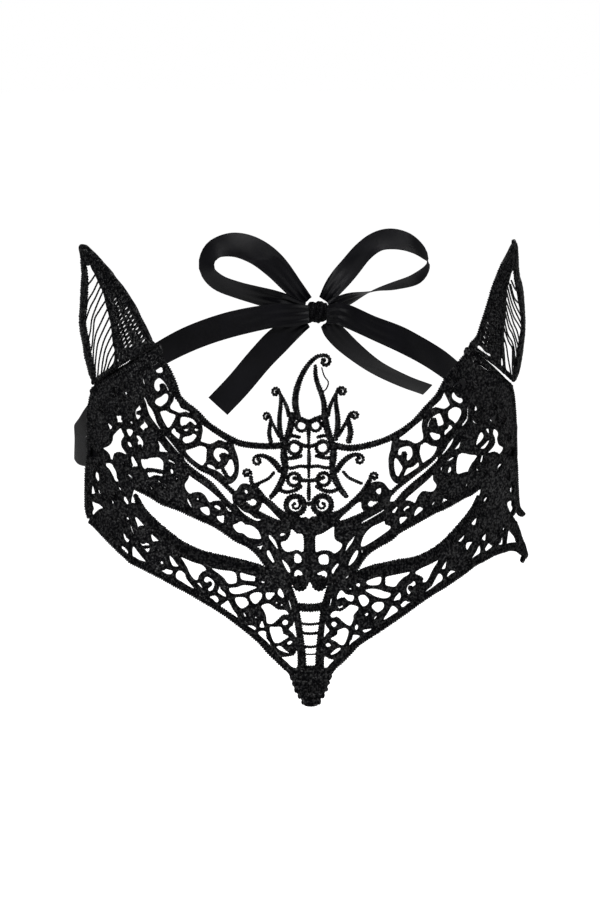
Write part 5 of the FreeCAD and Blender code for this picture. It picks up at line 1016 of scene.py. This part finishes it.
EAR_THREADS = {
    "left": [[(82.9, 77), (85.5, 74.2), (88.2, 72.8)], [(82.2, 75.8), (84.5, 71.5), (87.5, 69.5), (90, 68.6)],
             [(81, 76.4), (83.5, 71.5), (87, 67.5), (92, 63.8)],
             [(80, 75), (82.5, 70), (86, 66), (92.4, 60.8)],
             [(79, 74), (81, 69.5), (84, 65), (88, 62), (91.6, 59.4)],
             [(78.4, 71), (82, 65.5), (84, 62.5), (86.5, 60), (88.6, 56.6)],
             [(78.1, 69.4), (80.5, 64), (83, 61), (85.5, 57.5), (87.6, 54.6)],
             [(77.8, 67), (80, 62), (82.5, 59.5), (84.6, 56.4), (86, 52.4)],
             [(77, 65), (79, 60), (82, 57), (83.5, 54.5), (84.4, 50)],
             [(76.4, 62.6), (79.5, 57.5), (82, 55), (83, 52), (83.4, 47.8)],
             [(76.1, 59.6), (78, 56), (79, 52), (80.5, 47.5), (81.2, 45)],
             [(82.4, 55.4), (82.2, 52), (82.0, 48.6), (82.4, 45.4)]],
    "right": [[(77.6, 80.8), (80, 78.5), (82.6, 76.6)], [(76, 79), (79, 75), (82, 72), (83.2, 69.8)],
              [(75, 77.2), (78, 73), (81, 69.5), (84, 64.8)],
              [(73.9, 75.6), (77, 71), (80, 66), (81, 62), (82.4, 58.6)],
              [(72.5, 72.8), (76, 69), (78.5, 66), (79.3, 62), (80.2, 57), (81.6, 54.4)],
              [(71.5, 70.6), (75, 65.5), (78, 61), (79.3, 56), (79.6, 52)],
              [(70.6, 68), (74, 63), (76.8, 58.5), (78, 54), (78.6, 49.8)],
              [(70, 65), (73.5, 60), (75.3, 56), (76.5, 52), (77.2, 47.4)],
              [(69.6, 62.4), (73, 57), (74.5, 52.5), (75.4, 48)],
              [(69.2, 59.2), (72, 55), (73, 52), (74.4, 48.6)],
              [(68.6, 56.4), (71, 53), (72.6, 49.8)]],
}
for side, name in SIDES:
    ear = Lace("ear_edge_" + name)
    band = OUTER_BAND[name]
    ear.cord(own(side, [p[:2] for p in band]), [p[2] for p in band], thick=1.3, wound=0.7, sides=10)
    inner = ([(59.8, 58.2), (63.2, 60.4), (65.6, 64.6), (69.2, 71), (71.4, 75), (74.4, 79), (77.4, 82.2),
              (81.6, 85), (85.4, 87)]
             if side > 0 else
             [(54.8, 61.6), (57.2, 65.6), (60.8, 71), (64.4, 75.2), (68.4, 78.6), (72.4, 81.8), (76.6, 84.6),
              (81, 86.8), (85, 88)])
    ear.cord(own(side, inner), [1.8, 2.4, 2.6, 2.8, 3.0, 3.0, 3.0, 3.2, 3.0], thick=1.3)
    foot = [(60.6, 57.3), (66.8, 53.7), (73.4, 49.8), (81.2, 45.1)] if side > 0 else \
        [(53.4, 60.2), (58.4, 57.2), (65.4, 53.3), (73, 48.9), (79.8, 45.2)]
    ear.cord(own(side, foot), 1.6)
    ear.lay("ear_" + name, "ear_border_" + name)

    rib = Lace("ear_rib_" + name)
    line = [(83.4, 83), (80.2, 78.8), (77.6, 74), (76.8, 69), (75.8, 64), (74.9, 59),
            (74.7, 54)] if side > 0 else \
        [(79.6, 84.2), (76.6, 81), (73.6, 77.2), (71.4, 73), (69.8, 68.4), (68.7, 63.4), (68, 58)]
    rib.cord(own(side, line), [2.0, 2.4, 2.6, 2.4, 2.3, 2.2, 2.0])
    rib.lay("ear_" + name, "ear_midrib_" + name)

    threads = Lace("ear_fine_threads_" + name)
    for line in EAR_THREADS[name]:
        threads.cord(own(side, line), 0.6, thick=0.6, step=0.5, sides=6, wound=0.5)
    threads.lay("ear_" + name, "ear_threads_" + name)

    net = Lace("ear_slit_net_" + name)
    openings = list(EAR_OPENINGS[name])
    for (u0, v0), (u1, v1), count, length in SLITS[name]:
        for k in range(count):
            t = k / (count - 1)
            u, v = u0 + (u1 - u0) * t, v0 + (v1 - v0) * t
            du, dv = length * 0.48, -length * 0.3
            openings.append([(u - du, v - dv), (u + 0.1, v + 0.4), (u + du, v + dv), (u - 0.1, v - 0.4)])
    net.ground(own(side, EAR_FIELD[name]), [own(side, h) for h in openings], thick=0.9, hem=0.5)
    net.lay("ear_" + name, "ear_net_" + name)

# ---------------------------------------------------------------- ribbon ties
# Black satin ribbon, 10 mm wide, sewn flat behind each side edge with its end turned under.
# Each tie passes round the back of the head to the bow.


def black_satin():
    """smooth warp-faced satin: dark, with a soft cool band of shine across the width"""
    m = bpy.data.materials.new("black_satin")
    m.use_nodes = True
    nodes, links = m.node_tree.nodes, m.node_tree.links
    skin = nodes["Principled BSDF"]
    skin.inputs["Roughness"].default_value = 0.42
    skin.inputs["Specular IOR Level"].default_value = 0.09
    skin.inputs["Anisotropic"].default_value = 0.55
    place = nodes.new("ShaderNodeTexCoord")
    dye = nodes.new("ShaderNodeTexNoise")
    dye.inputs["Scale"].default_value = 90.0
    dye.inputs["Detail"].default_value = 4.0
    links.new(place.outputs["Object"], dye.inputs["Vector"])
    tone = nodes.new("ShaderNodeValToRGB")
    tone.color_ramp.elements[0].position = 0.3
    tone.color_ramp.elements[0].color = (0.0015, 0.0015, 0.002, 1.0)
    tone.color_ramp.elements[1].position = 0.7
    tone.color_ramp.elements[1].color = (0.0032, 0.0031, 0.0042, 1.0)
    links.new(dye.outputs["Fac"], tone.inputs["Fac"])
    links.new(tone.outputs["Color"], skin.inputs["Base Color"])
    weft = nodes.new("ShaderNodeTexWave")
    weft.wave_type = "BANDS"
    weft.bands_direction = "X"
    weft.inputs["Scale"].default_value = 2.2
    weft.inputs["Distortion"].default_value = 0.6
    links.new(place.outputs["UV"], weft.inputs["Vector"])
    bump = nodes.new("ShaderNodeBump")
    bump.inputs["Strength"].default_value = 0.25
    bump.inputs["Distance"].default_value = 0.00004
    links.new(weft.outputs["Fac"], bump.inputs["Height"])
    links.new(bump.outputs["Normal"], skin.inputs["Normal"])
    return m


SATIN = black_satin()
RIBBON_WIDE = 10.0


def ribbon(name, stations, body, replaced):
    """satin ribbon in millimetres through stations (point, facing, width); it gathers where it narrows"""
    rows = smooth_line([(*p, *n, w) for p, n, w in stations], 1.0)
    mid = rows[:, :3]
    ahead = np.gradient(mid, axis=0)
    ahead /= np.linalg.norm(ahead, axis=1)[:, None]
    face = rows[:, 3:6]
    face = face - ahead * (face * ahead).sum(1)[:, None]
    face /= np.linalg.norm(face, axis=1)[:, None]
    across = np.cross(ahead, face)
    run = np.concatenate([[0.0], np.cumsum(np.linalg.norm(np.diff(mid, axis=0), axis=1))])
    cells, pleats = 12, 3
    verts, faces, uvs = [], [], []
    for k in range(len(mid)):
        width = rows[k, 6]
        tight = 1.0 - min(width / RIBBON_WIDE, 1.0)
        for j in range(cells + 1):
            t = j / cells * 2.0 - 1.0
            fold = math.sin((t * pleats + 0.35 * math.sin(run[k] * 0.11)) * math.pi) * 1.15 * tight
            bow = 0.12 * math.sin(run[k] * 0.23 + t * 1.7)
            verts.append(tuple((mid[k] + across[k] * t * width / 2.0 + face[k] * (fold + bow)) * MM))
    for k in range(len(mid) - 1):
        for j in range(cells):
            a, b = k * (cells + 1) + j, (k + 1) * (cells + 1) + j
            faces.append((a, a + 1, b + 1, b))
            uvs += [(run[k], j / cells * 10), (run[k], (j + 1) / cells * 10),
                    (run[k + 1], (j + 1) / cells * 10), (run[k + 1], j / cells * 10)]
    mesh = bpy.data.meshes.new(name)
    mesh.from_pydata(verts, [], faces)
    layer = mesh.uv_layers.new(name="weave_uv")
    layer.data.foreach_set("uv", np.array(uvs, float).ravel())
    piece = bpy.data.objects.new(name, mesh)
    bpy.context.scene.collection.objects.link(piece)
    bpy.ops.object.select_all(action="DESELECT")
    piece.select_set(True)
    bpy.context.view_layer.objects.active = piece
    thick = piece.modifiers.new("cloth", "SOLIDIFY")
    thick.thickness = 0.00028
    thick.offset = 0.0
    bpy.ops.object.modifier_apply(modifier="cloth")
    bpy.ops.object.shade_smooth_by_angle(angle=math.radians(50))
    mesh.materials.append(SATIN)
    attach(piece, body)
    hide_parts(*replaced)
    return piece, float(run[-1])


KNOT = np.array([16.0, 94.5, 46.5])


def behind_lace(u, v, depth):
    """point of the ribbon behind the lace, and the way it faces"""
    point = on_face([(u, v, -depth)])[0] / MM
    front = on_face([(u, v, 0.0)])[0] / MM
    return point, (front - point) / np.linalg.norm(front - point)


HEAD_HALF_WIDTH, HEAD_HALF_DEPTH, HEAD_MIDDLE = 77.0, 116.0, -24.0
STRAP_DEPTH, HEM_DEPTH = 1.06, 1.52
RISES = {
    "left": [(-8, 20.4), (4, 20.6), (16, 22.6), (28, 27.2), (40, 33.4), (52, 38.8), (62, 42.6)],
    "right": [(-8, 18.4), (4, 17.4), (16, 17.8), (28, 22.0), (40, 27.6), (52, 33.4), (64, 38.6), (76, 42.6),
              (88, 45.4)],
}
for side, name in SIDES:
    mirror = np.array([side, 1.0, 1.0])
    way = []
    for u, v in ((78.6, 22.1), (82.6, 21.5), (86.4, 20.9)):
        point, facing = behind_lace(u, v, STRAP_DEPTH)
        way.append((point * mirror, facing * mirror, RIBBON_WIDE))
    for angle, z in RISES[name]:
        a = math.radians(angle)
        facing = np.array([math.cos(a) / HEAD_HALF_WIDTH, math.sin(a) / HEAD_HALF_DEPTH, 0.0])
        at = (HEAD_HALF_WIDTH * math.cos(a), HEAD_MIDDLE + HEAD_HALF_DEPTH * math.sin(a), z)
        way.append((np.array(at) * mirror, facing / np.linalg.norm(facing) * mirror, RIBBON_WIDE))
    back = np.array([0.0, 1.0, 0.0])
    way[-1] = (way[-1][0], way[-1][1], 9.2)
    way.append((KNOT + (side * 9.6, -4.2, -0.4), back, 8.6))
    way.append((KNOT + (side * 3.4, -4.9, 0.0), back, 6.8))
    strap, length = ribbon("ribbon_tie_" + name, way, "mask", ["ribbon_strap_" + name, "ribbon_hem_" + name])
    # the end turned under
    hem_way = []
    for u, v in ((78.7, 22.1), (80.2, 21.9), (81.6, 21.65), (83.0, 21.45), (84.4, 21.2)):
        point, facing = behind_lace(u, v, HEM_DEPTH)
        hem_way.append((point * mirror, facing * mirror, RIBBON_WIDE))
    hem, _ = ribbon("ribbon_turned_end_" + name, hem_way, "mask", [])

# ---------------------------------------------------------------- bow
# Tied at the back, a little to the left of the middle: a knot of ribbon wound round the
# ties, two loops that stand up and out, and two tails cut straight across.
bpy.ops.mesh.primitive_cylinder_add(vertices=40, radius=1.0, depth=2.0, location=(0, 0, 0),
                                    rotation=(0, math.radians(90), 0))
knot = bpy.context.active_object
knot.name = "bow_knot_wrap"
bpy.ops.object.transform_apply(location=False, rotation=True, scale=True)
bpy.ops.object.mode_set(mode="EDIT")
bpy.ops.mesh.select_all(action="SELECT")
bpy.ops.mesh.bevel(offset=0.35, segments=6, affect="EDGES")
for k in range(1, 16):
    bpy.ops.mesh.select_all(action="SELECT")
    bpy.ops.mesh.bisect(plane_co=(-0.64 + 0.08 * k, 0, 0), plane_no=(1, 0, 0))
bpy.ops.object.mode_set(mode="OBJECT")
for vertex in knot.data.vertices:
    x, y, z = vertex.co
    turn = math.atan2(z, y)
    crease = 0.06 * math.sin(x * 7.0 + 0.8 * math.sin(turn * 2.0)) + 0.03 * math.sin(x * 15.0 + turn)
    waist = 1.0 - 0.09 * x * x + crease
    vertex.co = (KNOT[0] * MM + (x * 3.9 + 0.3 * z) * MM, KNOT[1] * MM + y * 4.2 * waist * MM,
                 KNOT[2] * MM + z * (4.0 if z > 0 else 3.8) * waist * MM)
bpy.ops.object.mode_set(mode="EDIT")
bpy.ops.mesh.select_all(action="SELECT")
bpy.ops.mesh.remove_doubles(threshold=0.00002)
bpy.ops.mesh.normals_make_consistent(inside=False)
bpy.ops.object.mode_set(mode="OBJECT")
bpy.ops.object.shade_smooth()
knot.data.materials.append(SATIN)
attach(knot, "mask")
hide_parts("bow_knot")

BOW = {
    "bow_loop_right": ("folded", [
        (-3.7, 3.7, 3.4, 4, 5.0), (-8.5, 9.0, 3.8, 6, 7.2), (-16, 17.6, 4.6, 4, 9.5),
                                  (-23.2, 23.0, 5.4, 12, 10),
        (-31, 25.4, 6.2, 28, 10), (-38.2, 24.0, 6.4, 48, 10), (-41.6, 19.6, 5.8, 58, 10),
        (-41.2, 15.0, 4.6, 56, 10), (-37.2, 11.2, 3.6, 48, 10), (-30.5, 8.6, 2.8, 44, 10),
        (-22.5, 6.4, 2.0, 36, 9.2), (-13.5, 4.2, 1.4, 18, 7), (-4.9, 1.2, 1.2, 4, 5.0)]),
    "bow_loop_left": ("folded", [
        (3.2, 4.0, 3.4, -6, 5.0), (7.4, 10.0, 3.9, -26, 8), (12.8, 16.4, 4.8, -46, 10),
                                 (18, 22.4, 5.6, -48, 10),
        (23.4, 26.2, 6.0, -48, 10), (29.2, 27.2, 6.2, -46, 10), (35.4, 25.8, 6.2, -54, 10),
        (40.6, 22.2, 6.0, -68, 10), (43.0, 17.4, 5.6, -88, 10), (38.4, 12.0, 5.0, -106, 10),
        (30, 9.4, 4.0, -100, 10), (23.4, 8.0, 3.2, -86, 10), (17.6, 6.4, 2.4, -70, 9),
                                 (11.4, 4.4, 1.7, -40, 7),
        (4.9, 1.5, 1.3, -6, 5.0)]),
    "bow_tail_right": ("hung", [
        (-3.9, -3.3, -0.6, 0, 5.0), (-8.2, -5.6, -0.5, 0, 7.5), (-14.4, -10.2, 0.0, 2, 10),
        (-21.6, -17.8, 1.0, 2, 10), (-30, -28, 2.2, 0, 10), (-37.8, -36.4, 3.2, 0, 10)]),
    "bow_tail_left": ("hung", [
        (3.4, -3.8, -0.6, 0, 5.0), (6.6, -7.6, -0.2, 20, 8), (13.2, -14.4, 1.6, 40, 10),
        (22.6, -21.8, 4.0, 52, 10), (33.6, -27.6, 5.6, 53, 10), (43.2, -31.4, 6.6, 56, 10)]),
}
for name, (held, stations) in BOW.items():
    centres = np.array([KNOT + (s[0], s[2], s[1]) for s in stations])
    heading = np.gradient(centres, axis=0)
    heading /= np.linalg.norm(heading, axis=1)[:, None]
    way = []
    for centre, along, s in zip(centres, heading, stations):
        beside = np.cross(along, (0.0, 1.0, 0.0))
        beside /= np.linalg.norm(beside)
        flat = np.cross(beside, along)
        turn = math.radians(s[3])
        way.append((centre, flat * math.cos(turn) + beside * math.sin(turn), s[4]))
    piece, length = ribbon(name + "_satin", way, name, [name])

# ---------------------------------------------------------------- floor, light and camera
# A pale studio: a white floor below the object and even light from large soft lamps.
aim = Vector((0.0034, 0.0, 0.010))
bpy.ops.mesh.primitive_circle_add(vertices=64, radius=6.0, fill_type="NGON", location=(0, 0, -0.32))
floor = bpy.context.active_object
floor.name = "studio_floor"
white = bpy.data.materials.new("white_floor")
white.use_nodes = True
nodes, links = white.node_tree.nodes, white.node_tree.links
skin = nodes["Principled BSDF"]
skin.inputs["Base Color"].default_value = (0.86, 0.86, 0.86, 1.0)
skin.inputs["Roughness"].default_value = 0.9
skin.inputs["Specular IOR Level"].default_value = 0.1
ray = nodes.new("ShaderNodeLightPath")
lift = nodes.new("ShaderNodeEmission")
lift.inputs["Color"].default_value = (1.0, 1.0, 1.0, 1.0)
gain = nodes.new("ShaderNodeMath")
gain.operation = "MULTIPLY"
gain.inputs[1].default_value = 0.85
links.new(ray.outputs["Is Camera Ray"], gain.inputs[0])
links.new(gain.outputs[0], lift.inputs["Strength"])
both = nodes.new("ShaderNodeAddShader")
links.new(skin.outputs["BSDF"], both.inputs[0])
links.new(lift.outputs["Emission"], both.inputs[1])
links.new(both.outputs["Shader"], nodes["Material Output"].inputs["Surface"])
floor.data.materials.append(white)

world = bpy.data.worlds.new("studio")
bpy.context.scene.world = world
world.use_nodes = True
nodes, links = world.node_tree.nodes, world.node_tree.links
air = nodes["Background"]
air.inputs["Color"].default_value = (1.0, 1.0, 1.0, 1.0)
seen = nodes.new("ShaderNodeLightPath")
level = nodes.new("ShaderNodeMapRange")
level.inputs["To Min"].default_value = 0.17
level.inputs["To Max"].default_value = 1.0
links.new(seen.outputs["Is Camera Ray"], level.inputs["Value"])
links.new(level.outputs["Result"], air.inputs["Strength"])

for name, place, size, power in (("key_lamp", (-0.7, -1.1, 1.1), 0.8, 30.0),
                                 ("fill_lamp", (1.1, -0.9, 0.4), 0.9, 7.0),
                                 ("top_lamp", (0.1, 0.5, 1.3), 1.0, 10.0)):
    lamp = bpy.data.lights.new(name, "AREA")
    lamp.shape = "DISK"
    lamp.size = size
    lamp.energy = power
    holder = bpy.data.objects.new(name, lamp)
    holder.location = place
    holder.rotation_euler = (aim - Vector(place)).to_track_quat("-Z", "Y").to_euler()
    bpy.context.scene.collection.objects.link(holder)

lens = bpy.data.cameras.new("photo_camera")
lens.lens = 145.6
lens.sensor_width = 36.0
lens.sensor_fit = "AUTO"
camera = bpy.data.objects.new("photo_camera", lens)
turn, rise, distance = math.radians(-3.7), math.radians(10.0), 1.3
camera.location = aim + Vector((math.sin(turn) * math.cos(rise), -math.cos(turn) * math.cos(rise),
                                math.sin(rise))) * distance
camera.rotation_euler = (aim - camera.location).to_track_quat("-Z", "Y").to_euler()
bpy.context.scene.collection.objects.link(camera)
bpy.context.scene.camera = camera
bpy.context.scene.view_settings.view_transform = "Standard"
